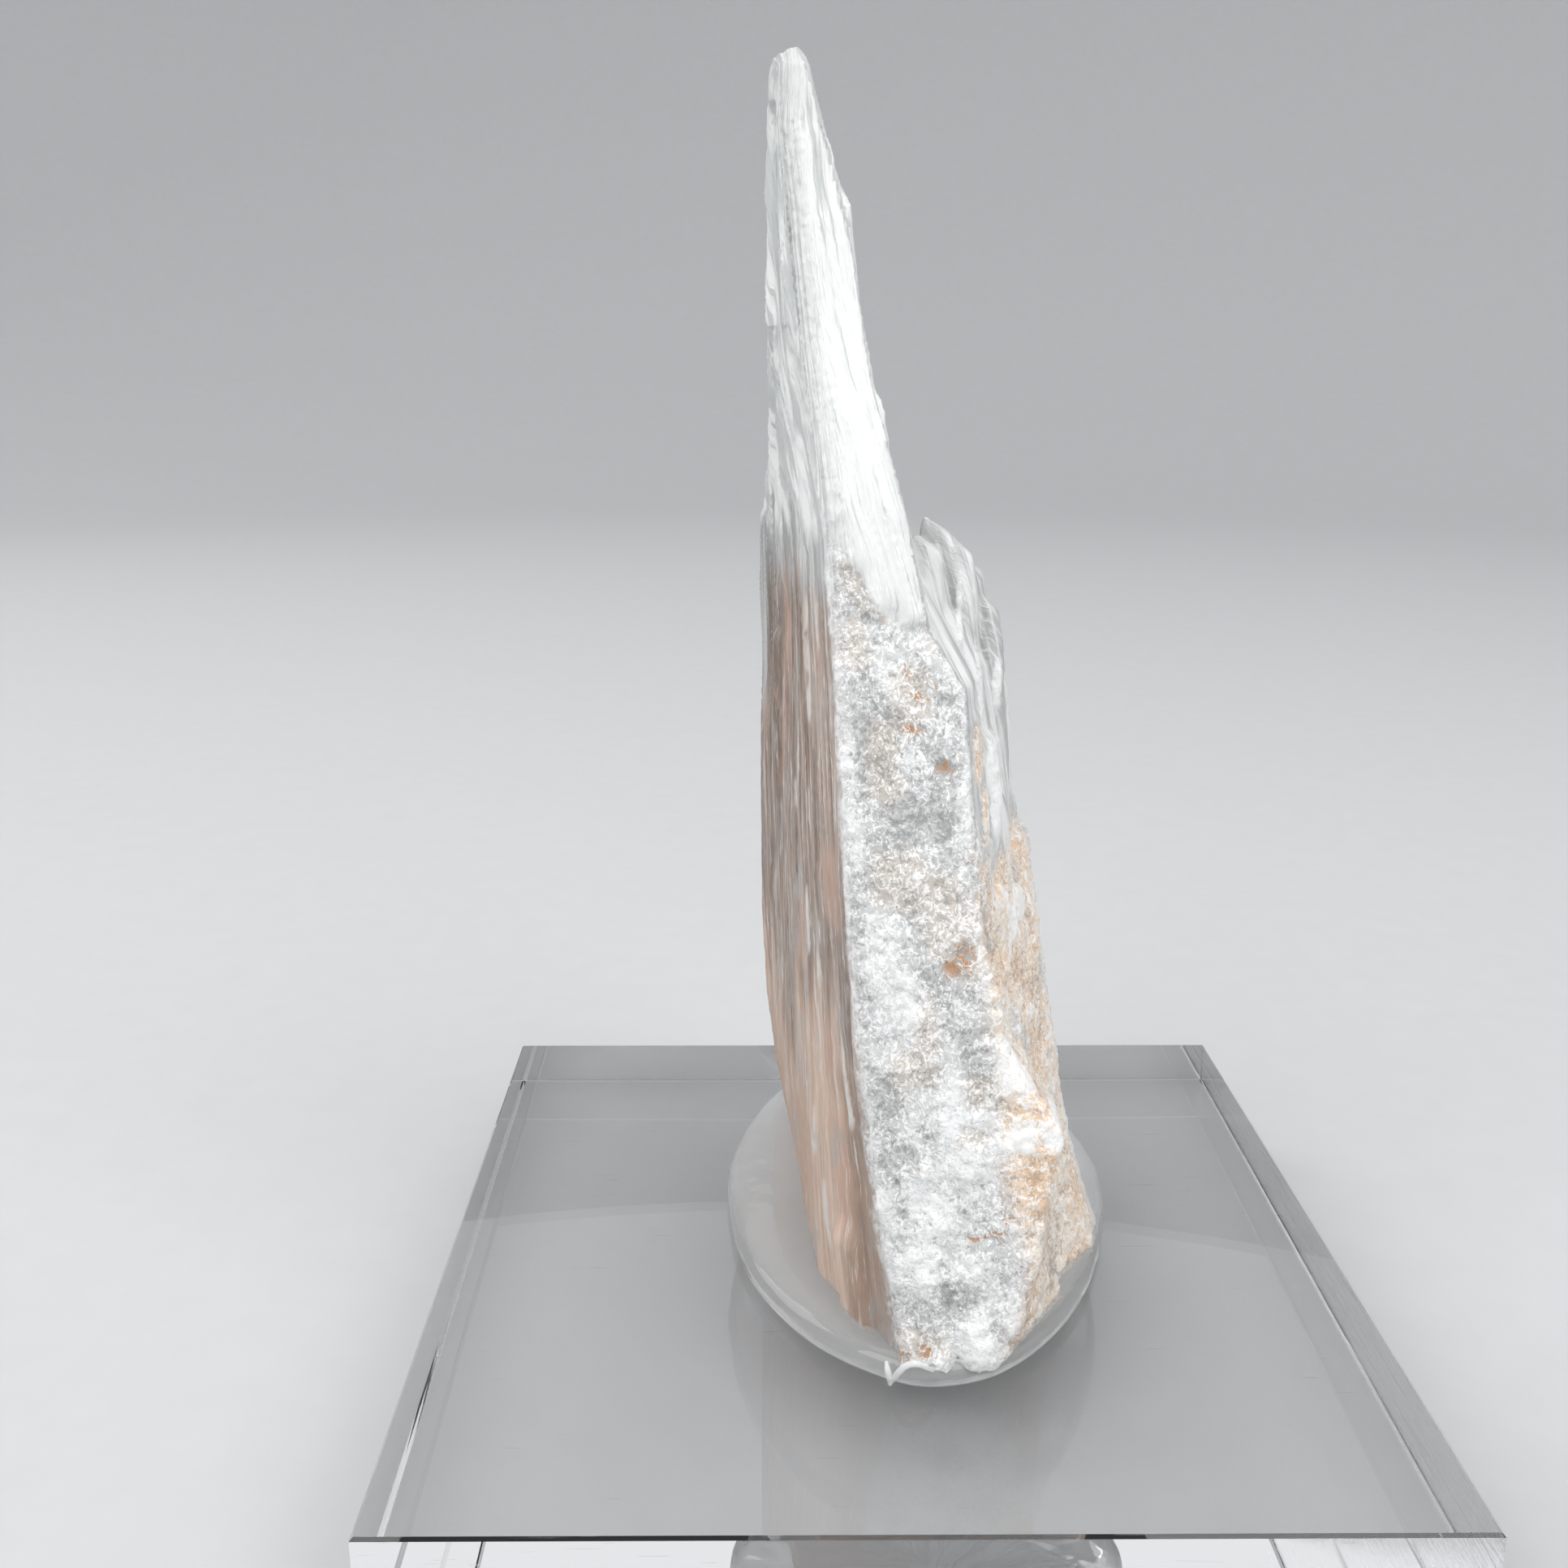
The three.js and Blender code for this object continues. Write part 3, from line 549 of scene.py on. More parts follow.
def make_crystal():
    """The crystal's solid, evenly meshed, softened, and given its relief and its zones."""
    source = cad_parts["selenite_crystal"]
    crystal = bpy.data.objects.new("crystal", source.data.copy())
    bpy.context.scene.collection.objects.link(crystal)
    crystal.data.materials.clear()
    remesh = crystal.modifiers.new("even mesh", "REMESH")
    remesh.mode = "VOXEL"
    remesh.voxel_size = VOXEL
    remesh.adaptivity = 0
    apply_modifiers(crystal)
    set_places(crystal.data, soften(crystal.data, places_of(crystal.data)))
    places = places_of(crystal.data)
    zones = crystal_zones(places)
    relief = crystal_relief(places, zones)
    set_places(crystal.data, places + normals_of(crystal.data) * relief[:, None])
    triangles = sum(len(face.vertices) - 2 for face in crystal.data.polygons)
    if triangles > MOST_TRIANGLES:
        thin = crystal.modifiers.new("fewer faces", "DECIMATE")
        thin.ratio = MOST_TRIANGLES / triangles
        apply_modifiers(crystal)
    places = places_of(crystal.data)
    zones = crystal_zones(places)
    # The relief is kept for the shader as well, which paints shade into the sunken places
    zones["relief"] = np.clip(0.5 + 2.2 * crystal_relief(places, zones), 0, 1)
    for name, values in zones.items():
        attribute = crystal.data.attributes.new(name, "FLOAT", "POINT")
        attribute.data.foreach_set("value", values.astype(np.float32))
    crystal.data.polygons.foreach_set("use_smooth", [True] * len(crystal.data.polygons))
    crystal.data.materials.append(selenite_material())
    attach(crystal, "root")
    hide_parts("selenite_crystal")


# Materials

class Nodes:
    """Short calls for building a material's node tree."""

    def __init__(self, name):
        self.material = bpy.data.materials.new(name)
        self.material.use_nodes = True
        self.tree = self.material.node_tree
        self.tree.nodes.clear()
        output = self.tree.nodes.new("ShaderNodeOutputMaterial")
        self.shader = self.tree.nodes.new("ShaderNodeBsdfPrincipled")
        self.tree.links.new(self.shader.outputs[0], output.inputs["Surface"])

    def set(self, socket, value):
        """Links a socket to another, or gives it a value."""
        if isinstance(value, bpy.types.NodeSocket):
            self.tree.links.new(value, socket)
        else:
            socket.default_value = value

    def place(self, scale, turn=(0, 0, 0)):
        """Object coordinates in millimetres, times a scale along each axis."""
        source = self.tree.nodes.new("ShaderNodeTexCoord")
        mapping = self.tree.nodes.new("ShaderNodeMapping")
        mapping.inputs["Scale"].default_value = [value / MM for value in scale]
        mapping.inputs["Rotation"].default_value = turn
        self.tree.links.new(source.outputs["Object"], mapping.inputs["Vector"])
        return mapping.outputs[0]

    def noise(self, scale, detail=3.0, roughness=0.55, turn=(0, 0, 0), distortion=0.0):
        made = self.tree.nodes.new("ShaderNodeTexNoise")
        made.inputs["Scale"].default_value = 1
        made.inputs["Detail"].default_value = detail
        made.inputs["Roughness"].default_value = roughness
        made.inputs["Distortion"].default_value = distortion
        self.tree.links.new(self.place(scale, turn), made.inputs["Vector"])
        return made.outputs["Fac"]

    def strands(self, name, across, along, detail=4.0, roughness=0.6):
        """Noise that is drawn out along the height and follows an attribute across."""
        place = self.tree.nodes.new("ShaderNodeTexCoord")
        split = self.tree.nodes.new("ShaderNodeSeparateXYZ")
        self.tree.links.new(place.outputs["Object"], split.inputs[0])
        joined = self.tree.nodes.new("ShaderNodeCombineXYZ")
        self.set(joined.inputs["X"], self.math("MULTIPLY", self.attribute(name), across))
        self.set(joined.inputs["Y"], self.math("MULTIPLY", split.outputs["Y"], along / MM))
        self.set(joined.inputs["Z"], self.math("MULTIPLY", split.outputs["Z"], along / MM))
        made = self.tree.nodes.new("ShaderNodeTexNoise")
        made.inputs["Scale"].default_value = 1
        made.inputs["Detail"].default_value = detail
        made.inputs["Roughness"].default_value = roughness
        self.tree.links.new(joined.outputs[0], made.inputs["Vector"])
        return made.outputs["Fac"]

    def along(self, axis):
        """The place along one axis, in millimetres."""
        split = self.tree.nodes.new("ShaderNodeSeparateXYZ")
        self.tree.links.new(self.place((1, 1, 1)), split.inputs[0])
        return split.outputs[axis]

    def attribute(self, name):
        """A zone's value, which the mesh keeps at each point."""
        made = self.tree.nodes.new("ShaderNodeAttribute")
        made.attribute_name = name
        return made.outputs["Fac"]

    def ramp(self, value, low, high, to_low=0.0, to_high=1.0):
        """to_low up to low, to_high from high on, smooth between. low may be the larger."""
        made = self.tree.nodes.new("ShaderNodeMapRange")
        made.interpolation_type = "SMOOTHSTEP"
        self.set(made.inputs["Value"], value)
        made.inputs["From Min"].default_value = low
        made.inputs["From Max"].default_value = high
        made.inputs["To Min"].default_value = to_low
        made.inputs["To Max"].default_value = to_high
        return made.outputs[0]

    def math(self, operation, first, second):
        made = self.tree.nodes.new("ShaderNodeMath")
        made.operation = operation
        self.set(made.inputs[0], first)
        self.set(made.inputs[1], second)
        return made.outputs[0]

    def mix(self, share, first, second):
        """A colour between two colours."""
        made = self.tree.nodes.new("ShaderNodeMix")
        made.data_type = "RGBA"
        self.set(made.inputs["Factor"], share)
        for name, colour in (("A", first), ("B", second)):
            linked = isinstance(colour, bpy.types.NodeSocket)
            self.set(made.inputs[name], colour if linked else (*colour, 1))
        return [socket for socket in made.outputs if socket.type == "RGBA"][0]

    def blend(self, share, first, second):
        """A number between two numbers."""
        made = self.tree.nodes.new("ShaderNodeMix")
        made.data_type = "FLOAT"
        self.set(made.inputs["Factor"], share)
        self.set(made.inputs["A"], first)
        self.set(made.inputs["B"], second)
        return made.outputs[0]

    def bump(self, height, distance, strength):
        """A normal from a height; distance is its depth in millimetres."""
        made = self.tree.nodes.new("ShaderNodeBump")
        made.inputs["Distance"].default_value = distance * MM
        made.inputs["Strength"].default_value = strength
        self.set(made.inputs["Height"], height)
        return made.outputs[0]


SPIRE_WHITE = (0.90, 0.915, 0.895)
SPIRE_GREY = (0.60, 0.62, 0.61)
SILVER = (0.84, 0.845, 0.84)
SILVER_DARK = (0.48, 0.48, 0.48)
TAUPE_DARK = (0.27, 0.195, 0.155)
TAUPE = (0.64, 0.53, 0.46)
TAUPE_GREY = (0.52, 0.52, 0.52)
TAUPE_RED = (0.74, 0.48, 0.37)
TAUPE_LOW = (0.95, 0.75, 0.62)
TAUPE_LOW_DARK = (0.74, 0.52, 0.39)
STREAK_WHITE = (0.95, 0.91, 0.87)
ETCHED_GREY = (0.56, 0.56, 0.56)
ETCHED_PALE = (0.78, 0.78, 0.775)
# Dark pit colour of the etched faces: painted shade where the surface sinks, mixed with random grain
ETCHED_PIT_SHADE_AND_GRAIN = (0.26, 0.255, 0.25)
ETCHED_BEIGE = (0.60, 0.53, 0.46)
FLECK_WHITE = (0.95, 0.95, 0.945)
TAN = (0.84, 0.63, 0.46)
TAN_GREY = (0.86, 0.77, 0.67)
# Dark pit colour of the tan face: painted shade where the surface sinks, mixed with random grain
TAN_PIT_SHADE_AND_GRAIN = (0.40, 0.28, 0.19)
RUST = (0.50, 0.26, 0.12)
LOBE_WHITE = (0.96, 0.965, 0.96)
LOBE_GREY = (0.55, 0.555, 0.555)
CLEAR = (1, 1, 1, 1)

SELENITE_IOR = 1.52
ACRYLIC_IOR = 1.49
GEL_IOR = 1.42
# How much light passes through the selenite's zones, and through the gel
LOBE_CLEARNESS = 0.2
LEFT_CLEARNESS = 0.3
CHALKY_CLEARNESS = 0.1
# The gel's share that does not let light through is white: painted light that brightens the pad over
# the shaded floor under it
GEL_CLEARNESS = 0.8
# The selenite's light that scatters under the surface: its share, and its reach in metres
SCATTERED = 0.12
SCATTER_TINT = (1.0, 0.95, 0.9)
SCATTER_REACH = 0.35 * MM


def selenite_material():
    nodes = Nodes("selenite")
    shader = nodes.shader
    names = "etched left taupe tan spire lobe white warm rust pale red dark low rim relief"
    zone = {name: nodes.attribute(name) for name in names.split()}

    def weighed(value, light, heavy):
        """A noise value, raised where a surface is pale and lowered where it is dark."""
        raised = nodes.math("ADD", value, nodes.math("MULTIPLY", zone["pale"], light))
        return nodes.math("SUBTRACT", raised, nodes.math("MULTIPLY", zone["dark"], heavy))

    # Fibres, ribs, flecks and grains
    strands = nodes.strands("fibre", 0.8, 0.045)
    threads = nodes.strands("fibre", 4.4, 0.16)
    hairs = nodes.strands("fibre", 11, 0.45, detail=3)
    ribs = nodes.blend(0.4, nodes.strands("lean", 1.5, 0.06), nodes.strands("lean", 5, 0.2))
    fan_strands = nodes.strands("fan", 1.1, 0.05)
    fan_threads = nodes.strands("fan", 6, 0.25)
    flecks = nodes.noise((2.1, 2.1, 1.7), detail=2, roughness=0.5, distortion=1.2)
    grain = nodes.noise((4.8, 4.8, 4), detail=3, roughness=0.6, distortion=0.6)
    blotch = nodes.noise((0.4, 0.4, 0.22), detail=4, roughness=0.6)

    # The fibrous faces
    streak = nodes.blend(0.45, strands, threads)
    fan_streak = nodes.blend(0.5, fan_strands, fan_threads)
    spire = nodes.mix(nodes.ramp(weighed(fan_streak, 0.2, 0.12), 0.4, 0.5), SPIRE_GREY, SPIRE_WHITE)
    silver = nodes.mix(nodes.ramp(weighed(streak, 0.3, 0.05), 0.42, 0.6), SILVER_DARK, SILVER)
    taupe = nodes.mix(nodes.ramp(weighed(streak, 0.3, 0.08), 0.38, 0.62), TAUPE_DARK, TAUPE)
    low = nodes.mix(nodes.ramp(weighed(streak, 0.2, 0.2), 0.36, 0.6), TAUPE_LOW_DARK, TAUPE_LOW)
    taupe = nodes.mix(nodes.math("MULTIPLY", zone["low"], 0.9), taupe, low)
    taupe = nodes.mix(nodes.math("MULTIPLY", zone["red"], 0.6), taupe, TAUPE_RED)
    taupe = nodes.mix(nodes.ramp(blotch, 0.52, 0.68, 0, 0.5), taupe, TAUPE_RED)
    taupe = nodes.mix(nodes.ramp(blotch, 0.46, 0.34, 0, 0.5), taupe, TAUPE_GREY)
    lobe_streak = nodes.blend(zone["lobe"], streak, ribs)
    lobe = nodes.mix(nodes.ramp(lobe_streak, 0.44, 0.55), LOBE_GREY, LOBE_WHITE)
    thin = nodes.ramp(nodes.blend(0.5, threads, hairs), 0.555, 0.61, 0, 0.7)

    # The etched faces, with dark pits, rust, fine white curls and solid white patches. The dark pit
    # colour is partly random grain and partly painted shade where the surface sinks
    # Painted shade in the sunken places, read from the relief, mixed with random grain
    pit_shade_and_grain = nodes.ramp(nodes.blend(0.35, grain, zone["relief"]), 0.5, 0.38)
    etched = nodes.mix(nodes.ramp(zone["white"], 0.1, 0.8), ETCHED_GREY, ETCHED_PALE)
    etched = nodes.mix(nodes.math("MULTIPLY", zone["warm"], 0.7), etched, ETCHED_BEIGE)
    etched = nodes.mix(nodes.math("MULTIPLY", pit_shade_and_grain, 0.6), etched, ETCHED_PIT_SHADE_AND_GRAIN)
    tan = nodes.mix(nodes.ramp(blotch, 0.4, 0.6), TAN, TAN_GREY)
    tan = nodes.mix(nodes.math("MULTIPLY", pit_shade_and_grain, 0.6), tan, TAN_PIT_SHADE_AND_GRAIN)
    etched = nodes.mix(zone["tan"], etched, tan)
    stain = nodes.math("MULTIPLY", zone["rust"], 0.22)
    stain = nodes.math("ADD", nodes.blend(0.6, flecks, grain), stain)
    etched = nodes.mix(nodes.ramp(stain, 0.62, 0.7, 0, 0.85), etched, RUST)
    curl = nodes.math("ABSOLUTE", nodes.math("SUBTRACT", flecks, 0.5), 0)
    curl = nodes.math("SUBTRACT", curl, nodes.math("MULTIPLY", zone["white"], 0.05))
    raised = nodes.math("MULTIPLY", nodes.math("SUBTRACT", zone["relief"], 0.5), 0.12)
    curl = nodes.ramp(nodes.math("SUBTRACT", curl, raised), 0.05, 0.005)
    curl = nodes.math("MULTIPLY", curl, nodes.ramp(grain, 0.4, 0.54))
    etched = nodes.mix(nodes.math("MULTIPLY", curl, 0.9), etched, FLECK_WHITE)
    solid = nodes.math("ADD", zone["white"], nodes.blend(0.5, flecks, grain))
    etched = nodes.mix(nodes.ramp(solid, 1.15, 1.4, 0, 0.85), etched, FLECK_WHITE)

    # The faces together, by their zones
    fibrous = nodes.mix(zone["left"], lobe, silver)
    fibrous = nodes.mix(zone["taupe"], fibrous, taupe)
    fibrous = nodes.mix(thin, fibrous, STREAK_WHITE)
    fibrous = nodes.mix(nodes.math("MULTIPLY", zone["pale"], 0.9), fibrous, STREAK_WHITE)
    colour = nodes.mix(zone["etched"], fibrous, etched)
    colour = nodes.mix(zone["spire"], colour, spire)
    chalky = nodes.ramp(nodes.blend(0.5, flecks, grain), 0.4, 0.56, 0.15, 1)
    colour = nodes.mix(nodes.math("MULTIPLY", zone["rim"], chalky), colour, FLECK_WHITE)
    nodes.set(shader.inputs["Base Color"], colour)

    clear = nodes.blend(zone["left"], LOBE_CLEARNESS, LEFT_CLEARNESS)
    clear = nodes.blend(zone["etched"], clear, CHALKY_CLEARNESS)
    clear = nodes.blend(zone["spire"], clear, CHALKY_CLEARNESS)
    nodes.set(shader.inputs["Transmission Weight"], clear)
    dull = nodes.blend(zone["etched"], 0.32, 0.45)
    nodes.set(shader.inputs["Roughness"], nodes.blend(grain, dull, 0.36))
    shader.inputs["IOR"].default_value = SELENITE_IOR
    shader.inputs["Subsurface Weight"].default_value = SCATTERED
    shader.inputs["Subsurface Radius"].default_value = SCATTER_TINT
    shader.inputs["Subsurface Scale"].default_value = SCATTER_REACH

    fibres = nodes.blend(0.4, nodes.blend(zone["spire"], threads, fan_threads), hairs)
    pits = nodes.blend(0.5, grain, flecks)
    height = nodes.blend(zone["etched"], fibres, pits)
    nodes.set(shader.inputs["Normal"], nodes.bump(height, 0.2, 0.8))
    return nodes.material


# The block's right side shows saw marks from this place on, in millimetres
SAWN_FROM = 25.25


def acrylic_material():
    """Clear, with faint wear and scratches, and saw marks on the right side."""
    nodes = Nodes("acrylic")
    shader = nodes.shader
    shader.inputs["Base Color"].default_value = CLEAR
    shader.inputs["Transmission Weight"].default_value = 1
    shader.inputs["IOR"].default_value = ACRYLIC_IOR
    wear = nodes.ramp(nodes.noise((0.25, 0.25, 0.25), detail=5), 0.5, 0.8, 0.0, 0.03)
    cut = nodes.ramp(nodes.along("X"), SAWN_FROM, SAWN_FROM + 0.1)
    marks = nodes.noise((0.4, 0.12, 5), detail=4, roughness=0.7, turn=(0.12, 0, 0))
    sawn = nodes.math("MULTIPLY", cut, nodes.ramp(marks, 0.45, 0.65, 0.0, 0.3))
    nodes.set(shader.inputs["Roughness"], nodes.math("ADD", wear, sawn))
    scratches = nodes.ramp(nodes.noise((0.2, 7, 7), detail=2, turn=(0, 0, 0.7)), 0.72, 0.78)
    scratches = nodes.math("MULTIPLY", scratches, 0.15)
    height = nodes.math("SUBTRACT", nodes.math("MULTIPLY", cut, marks), scratches)
    nodes.set(shader.inputs["Normal"], nodes.bump(height, 0.03, 0.6))
    return nodes.material


def gel_material():
    """Mostly clear and a little hazy, with a soft ripple. Its share that is not clear is white:
    painted light that brightens the pad over the shaded floor under it.
    """
    nodes = Nodes("gel")
    shader = nodes.shader
    shader.inputs["Base Color"].default_value = CLEAR
    shader.inputs["Transmission Weight"].default_value = GEL_CLEARNESS
    shader.inputs["IOR"].default_value = GEL_IOR
    haze = nodes.noise((0.3, 0.3, 0.3), detail=4)
    nodes.set(shader.inputs["Roughness"], nodes.ramp(haze, 0.45, 0.75, 0.01, 0.06))
    ripple = nodes.noise((0.35, 0.35, 0.2), detail=2)
    nodes.set(shader.inputs["Normal"], nodes.bump(ripple, 0.12, 0.5))
    return nodes.material


# The gel pad

PAD_SIDES = 192
# How far the pad sinks into the block, in millimetres
PAD_SINK = 0.02
# Rim of the pad as (inset from the widest line in millimetres, share of the pad's height). The
# first ring lies in the flat underside, so that its smooth shading stays flat
PAD_RIM = [
    (1.4, 0), (0.6, 0), (0.36, 0), (0.2, 0.06), (0.08, 0.16), (0.02, 0.3), (0, 0.44), (0.05, 0.58),
    (0.18, 0.7), (0.4, 0.81), (0.75, 0.89), (1.2, 0.95), (1.8, 0.985), (2.6, 1),
]
# Flat of the pad as (share of the last rim ring's size, share of the pad's height)
PAD_FLAT = [(0.82, 0.99), (0.6, 0.975), (0.4, 0.965), (0.2, 0.96)]
# Directions that the solid's outline is read in, and the rounds that smooth it
PAD_SAMPLES = 26
PAD_SMOOTH_ROUNDS = 6


def pad_outline(corners, centre):
    """The widest line of the pad's solid, as an even ring of smoothed points."""
    rel = corners[:, :2] - centre
    angles = np.arctan2(rel[:, 1], rel[:, 0])
    reach = np.hypot(rel[:, 0], rel[:, 1])
    bins = np.floor((angles + math.pi) / (2 * math.pi) * PAD_SAMPLES).astype(int) % PAD_SAMPLES
    within = [np.flatnonzero(bins == part) for part in np.unique(bins)]
    widest = [members[np.argmax(reach[members])] for members in within]
    order = sorted(widest, key=lambda index: angles[index])
    steps = np.linspace(-math.pi, math.pi, PAD_SIDES, endpoint=False)
    radius = np.interp(steps, angles[order], reach[order], period=2 * math.pi)
    for _ in range(PAD_SMOOTH_ROUNDS):
        radius = (np.roll(radius, 1) + 2 * radius + np.roll(radius, -1)) / 4
    return centre + np.stack([np.cos(steps), np.sin(steps)], 1) * radius[:, None]


def make_pad():
    """The gel pad, as rings from the underside up over the rim to the middle of its top."""
    low, high = (np.array(corner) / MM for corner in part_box("gel_pad"))
    centre = (low + high)[:2] / 2
    outline = pad_outline(places_of(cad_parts["gel_pad"].data), centre)
    tangent = np.roll(outline, -1, 0) - np.roll(outline, 1, 0)
    tangent /= np.linalg.norm(tangent, axis=1)[:, None]
    inward = np.stack([-tangent[:, 1], tangent[:, 0]], 1)
    bottom = low[2] - PAD_SINK
    tall = high[2] - bottom
    rings = [(outline + inward * inset, share) for inset, share in PAD_RIM]
    last = rings[-1][0]
    rings += [(centre + (last - centre) * size, share) for size, share in PAD_FLAT]
    vertices = [(*centre * MM, bottom * MM)]
    for ring, share in rings:
        vertices.extend((x * MM, y * MM, (bottom + tall * share) * MM) for x, y in ring)
    vertices.append((*centre * MM, (bottom + tall * PAD_FLAT[-1][1]) * MM))
    faces = []
    for side in range(PAD_SIDES):
        following = (side + 1) % PAD_SIDES
        faces.append((0, 1 + following, 1 + side))
        for level in range(len(rings) - 1):
            lower = 1 + level * PAD_SIDES
            upper = lower + PAD_SIDES
            faces.append((lower + side, lower + following, upper + following, upper + side))
        top = 1 + (len(rings) - 1) * PAD_SIDES
        faces.append((top + side, top + following, len(vertices) - 1))
    pad = mesh_from("pad", vertices, faces)
    pad.data.materials.append(gel_material())
    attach(pad, "root")
    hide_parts("gel_pad")


# The lip of gel: two curled strands at the front of the crystal's foot, each as (x, y, z, radius)
# along its middle
LIP_PATHS = [
    [
        (-0.95, -15, 8.2, 0.1), (-0.85, -15.4, 8.8, 0.16), (-0.63, -15.6, 9.3, 0.17),
        (-0.32, -15.6, 9.65, 0.17), (0.04, -15.6, 9.82, 0.17), (0.44, -15.55, 9.72, 0.16),
        (0.8, -15.45, 9.45, 0.15), (1.15, -15.25, 9.1, 0.08),
    ],
    [
        (-0.98, -15.1, 8.25, 0.12), (-1.05, -15.4, 8.8, 0.16), (-1.14, -15.35, 9.2, 0.17),
        (-1.2, -15, 9.5, 0.08),
    ],
]
LIP_SIDES = 14
LIP_STEPS = 40
LIP_SMOOTH_ROUNDS = 12


def make_lip():
    """The lip, as a closed round tube along each path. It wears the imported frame's own plain gel."""
    vertices = []
    faces = []
    for path in LIP_PATHS:
        corners = np.array(path)
        at = np.linspace(0, len(corners) - 1, LIP_STEPS)
        line = np.stack([np.interp(at, range(len(corners)), column) for column in corners.T], 1)
        for _ in range(LIP_SMOOTH_ROUNDS):
            line[1:-1] = (line[:-2] + 2 * line[1:-1] + line[2:]) / 4
        start = len(vertices)
        along = np.gradient(line[:, :3], axis=0)
        for (x, y, z, radius), direction in zip(line, along):
            turn = Vector(direction).to_track_quat("Z", "Y")
            for side in range(LIP_SIDES):
                angle = 2 * math.pi * side / LIP_SIDES
                rel = turn @ Vector((radius * math.cos(angle), radius * math.sin(angle), 0))
                vertices.append(((x + rel.x) * MM, (y + rel.y) * MM, (z + rel.z) * MM))
        for step in range(LIP_STEPS - 1):
            for side in range(LIP_SIDES):
                following = (side + 1) % LIP_SIDES
                lower = start + step * LIP_SIDES
                upper = lower + LIP_SIDES
                faces.append((lower + side, lower + following, upper + following, upper + side))
        last = start + (LIP_STEPS - 1) * LIP_SIDES
        faces.append(tuple(start + side for side in reversed(range(LIP_SIDES))))
        faces.append(tuple(last + side for side in range(LIP_SIDES)))
    lip = mesh_from("gel_lip", vertices, faces)
    lip.data.materials.append(bpy.data.materials["gel"])
    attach(lip, "root")


# The block

def dress_block():
    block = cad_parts["acrylic_base"]
    block.data.materials.clear()
    block.data.materials.append(acrylic_material())


# Studio, in metres

PAPER_COLOURS = ((0.49, 0.495, 0.50), (0.52, 0.525, 0.53))
PAPER_ROUGHNESS = 0.9
FLOOR_SIDES = 96
FLOOR_RADIUS = 0.5
FLOOR_RINGS = (0.05, 0.3, 1)
BEND_RADIUS = 0.35
BEND_STEPS = 12
WALL_TOP = 0.5
FLOOR_HEIGHT = -0.03 * MM
# Each light as (name, place, length of its sides, power in watts)
LIGHTS = [
    ("left_softbox", (-0.29, -0.3, 0.38), 0.34, 1.25),
    ("right_softbox", (0.29, -0.32, 0.38), 0.34, 1.45),
    ("rear_left_softbox", (-0.4, 0.2, 0.34), 0.3, 0.65),
    ("overhead_softbox", (-0.03, 0.03, 0.52), 0.3, 0.4),
]
LIGHTS_AIM = (0, 0, 0.035)
SKY_COLOUR = (0.96, 0.98, 1.0, 1)
SKY_STRENGTH = 0.85


def stage_material():
    nodes = Nodes("studio paper")
    tooth = nodes.noise((0.3, 0.3, 0.3), detail=3)
    nodes.set(nodes.shader.inputs["Base Color"], nodes.mix(tooth, *PAPER_COLOURS))
    nodes.shader.inputs["Roughness"].default_value = PAPER_ROUGHNESS
    return nodes.material


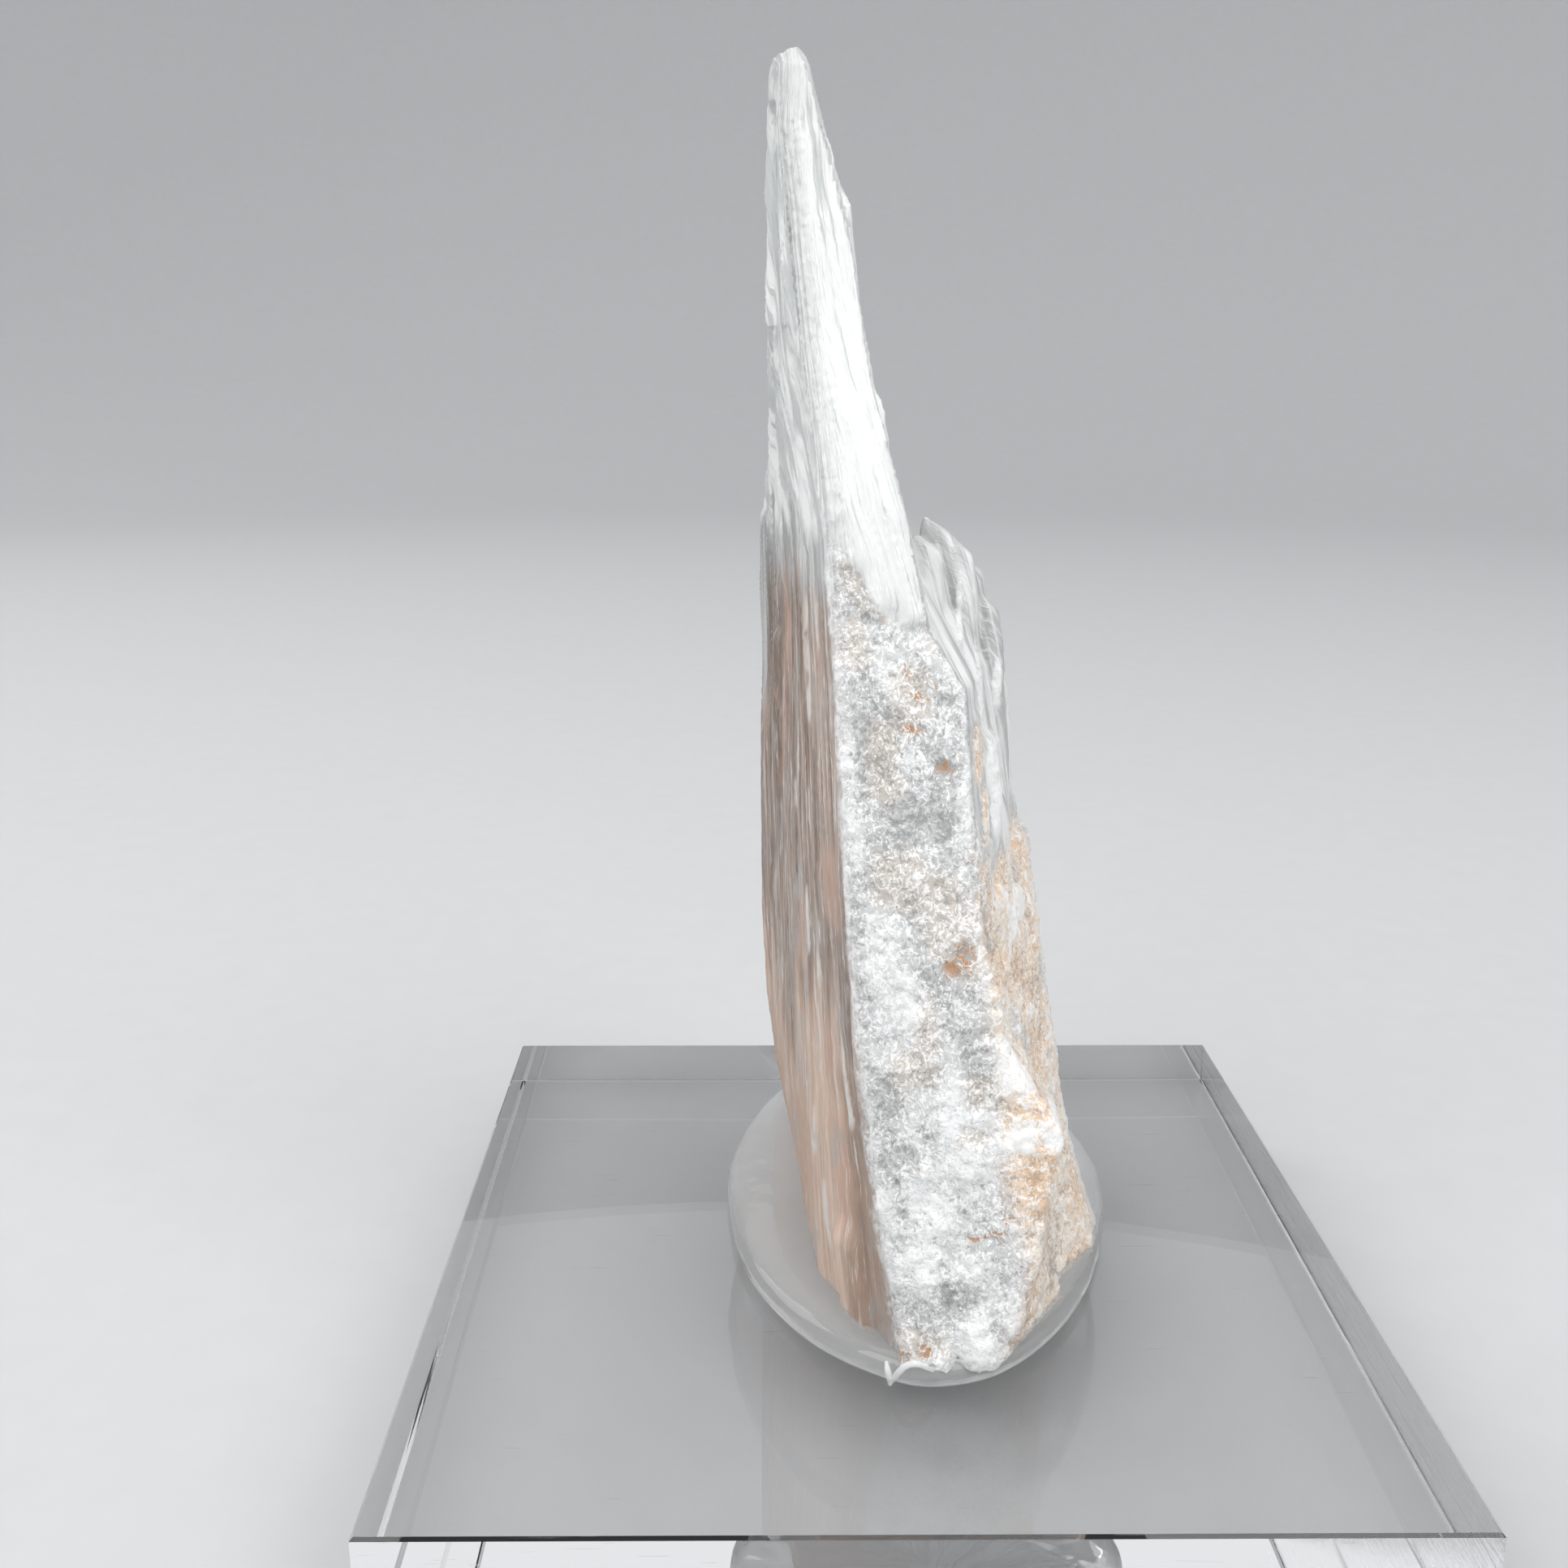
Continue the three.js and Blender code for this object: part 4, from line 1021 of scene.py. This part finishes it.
def make_stage():
    """A round floor that curves up into a low wall on every side."""
    profile = [(FLOOR_RADIUS * share, FLOOR_HEIGHT) for share in FLOOR_RINGS]
    for step in range(1, BEND_STEPS + 1):
        angle = math.pi / 2 * step / BEND_STEPS
        radius = FLOOR_RADIUS + BEND_RADIUS * math.sin(angle)
        profile.append((radius, FLOOR_HEIGHT + BEND_RADIUS * (1 - math.cos(angle))))
    profile.append((FLOOR_RADIUS + BEND_RADIUS, WALL_TOP))
    vertices = [(0, 0, FLOOR_HEIGHT)]
    for radius, height in profile:
        for side in range(FLOOR_SIDES):
            angle = 2 * math.pi * side / FLOOR_SIDES
            vertices.append((radius * math.cos(angle), radius * math.sin(angle), height))
    faces = [(0, 1 + side, 1 + (side + 1) % FLOOR_SIDES) for side in range(FLOOR_SIDES)]
    for level in range(len(profile) - 1):
        inner = 1 + level * FLOOR_SIDES
        outer = inner + FLOOR_SIDES
        for side in range(FLOOR_SIDES):
            following = (side + 1) % FLOOR_SIDES
            faces.append((inner + side, outer + side, outer + following, inner + following))
    floor = mesh_from("studio_floor", vertices, faces)
    floor.data.materials.append(stage_material())


def add_light(name, place, size, power):
    """A square softbox that faces the middle of the crystal."""
    lamp = bpy.data.lights.new(name, "AREA")
    lamp.shape = "RECTANGLE"
    lamp.size = lamp.size_y = size
    lamp.energy = power
    made = bpy.data.objects.new(name, lamp)
    made.location = place
    aim = Vector(LIGHTS_AIM) - Vector(place)
    made.rotation_euler = aim.to_track_quat("-Z", "Y").to_euler()
    bpy.context.scene.collection.objects.link(made)


def light_studio():
    for light in LIGHTS:
        add_light(*light)
    world = bpy.data.worlds.new("studio")
    world.use_nodes = True
    sky = world.node_tree.nodes["Background"].inputs
    sky["Color"].default_value = SKY_COLOUR
    sky["Strength"].default_value = SKY_STRENGTH
    bpy.context.scene.world = world
    bpy.context.scene.view_settings.view_transform = "Standard"


def add_camera():
    """The photograph's camera, which was worked out from the block's corners."""
    data = bpy.data.cameras.new("camera")
    data.sensor_width = SENSOR_WIDTH
    data.lens = SENSOR_WIDTH * FOCAL_PIXELS / IMAGE_SIZE
    data.clip_start = CLIP_START
    camera = bpy.data.objects.new("camera", data)
    forward = Vector(
        (
            math.sin(CAMERA_YAW) * math.cos(CAMERA_PITCH),
            math.cos(CAMERA_YAW) * math.cos(CAMERA_PITCH),
            -math.sin(CAMERA_PITCH),
        )
    )
    right = Vector((math.cos(CAMERA_YAW), -math.sin(CAMERA_YAW), 0))
    up = right.cross(forward)
    turned_right = right * math.cos(CAMERA_ROLL) + up * math.sin(CAMERA_ROLL)
    turned_up = up * math.cos(CAMERA_ROLL) - right * math.sin(CAMERA_ROLL)
    turn = Matrix((turned_right, turned_up, -forward)).transposed()
    camera.matrix_world = Matrix.Translation(CAMERA_PLACE) @ turn.to_4x4()
    bpy.context.scene.collection.objects.link(camera)
    bpy.context.scene.camera = camera


add_camera()
make_stage()
light_studio()
dress_block()
make_pad()
make_lip()
make_crystal()
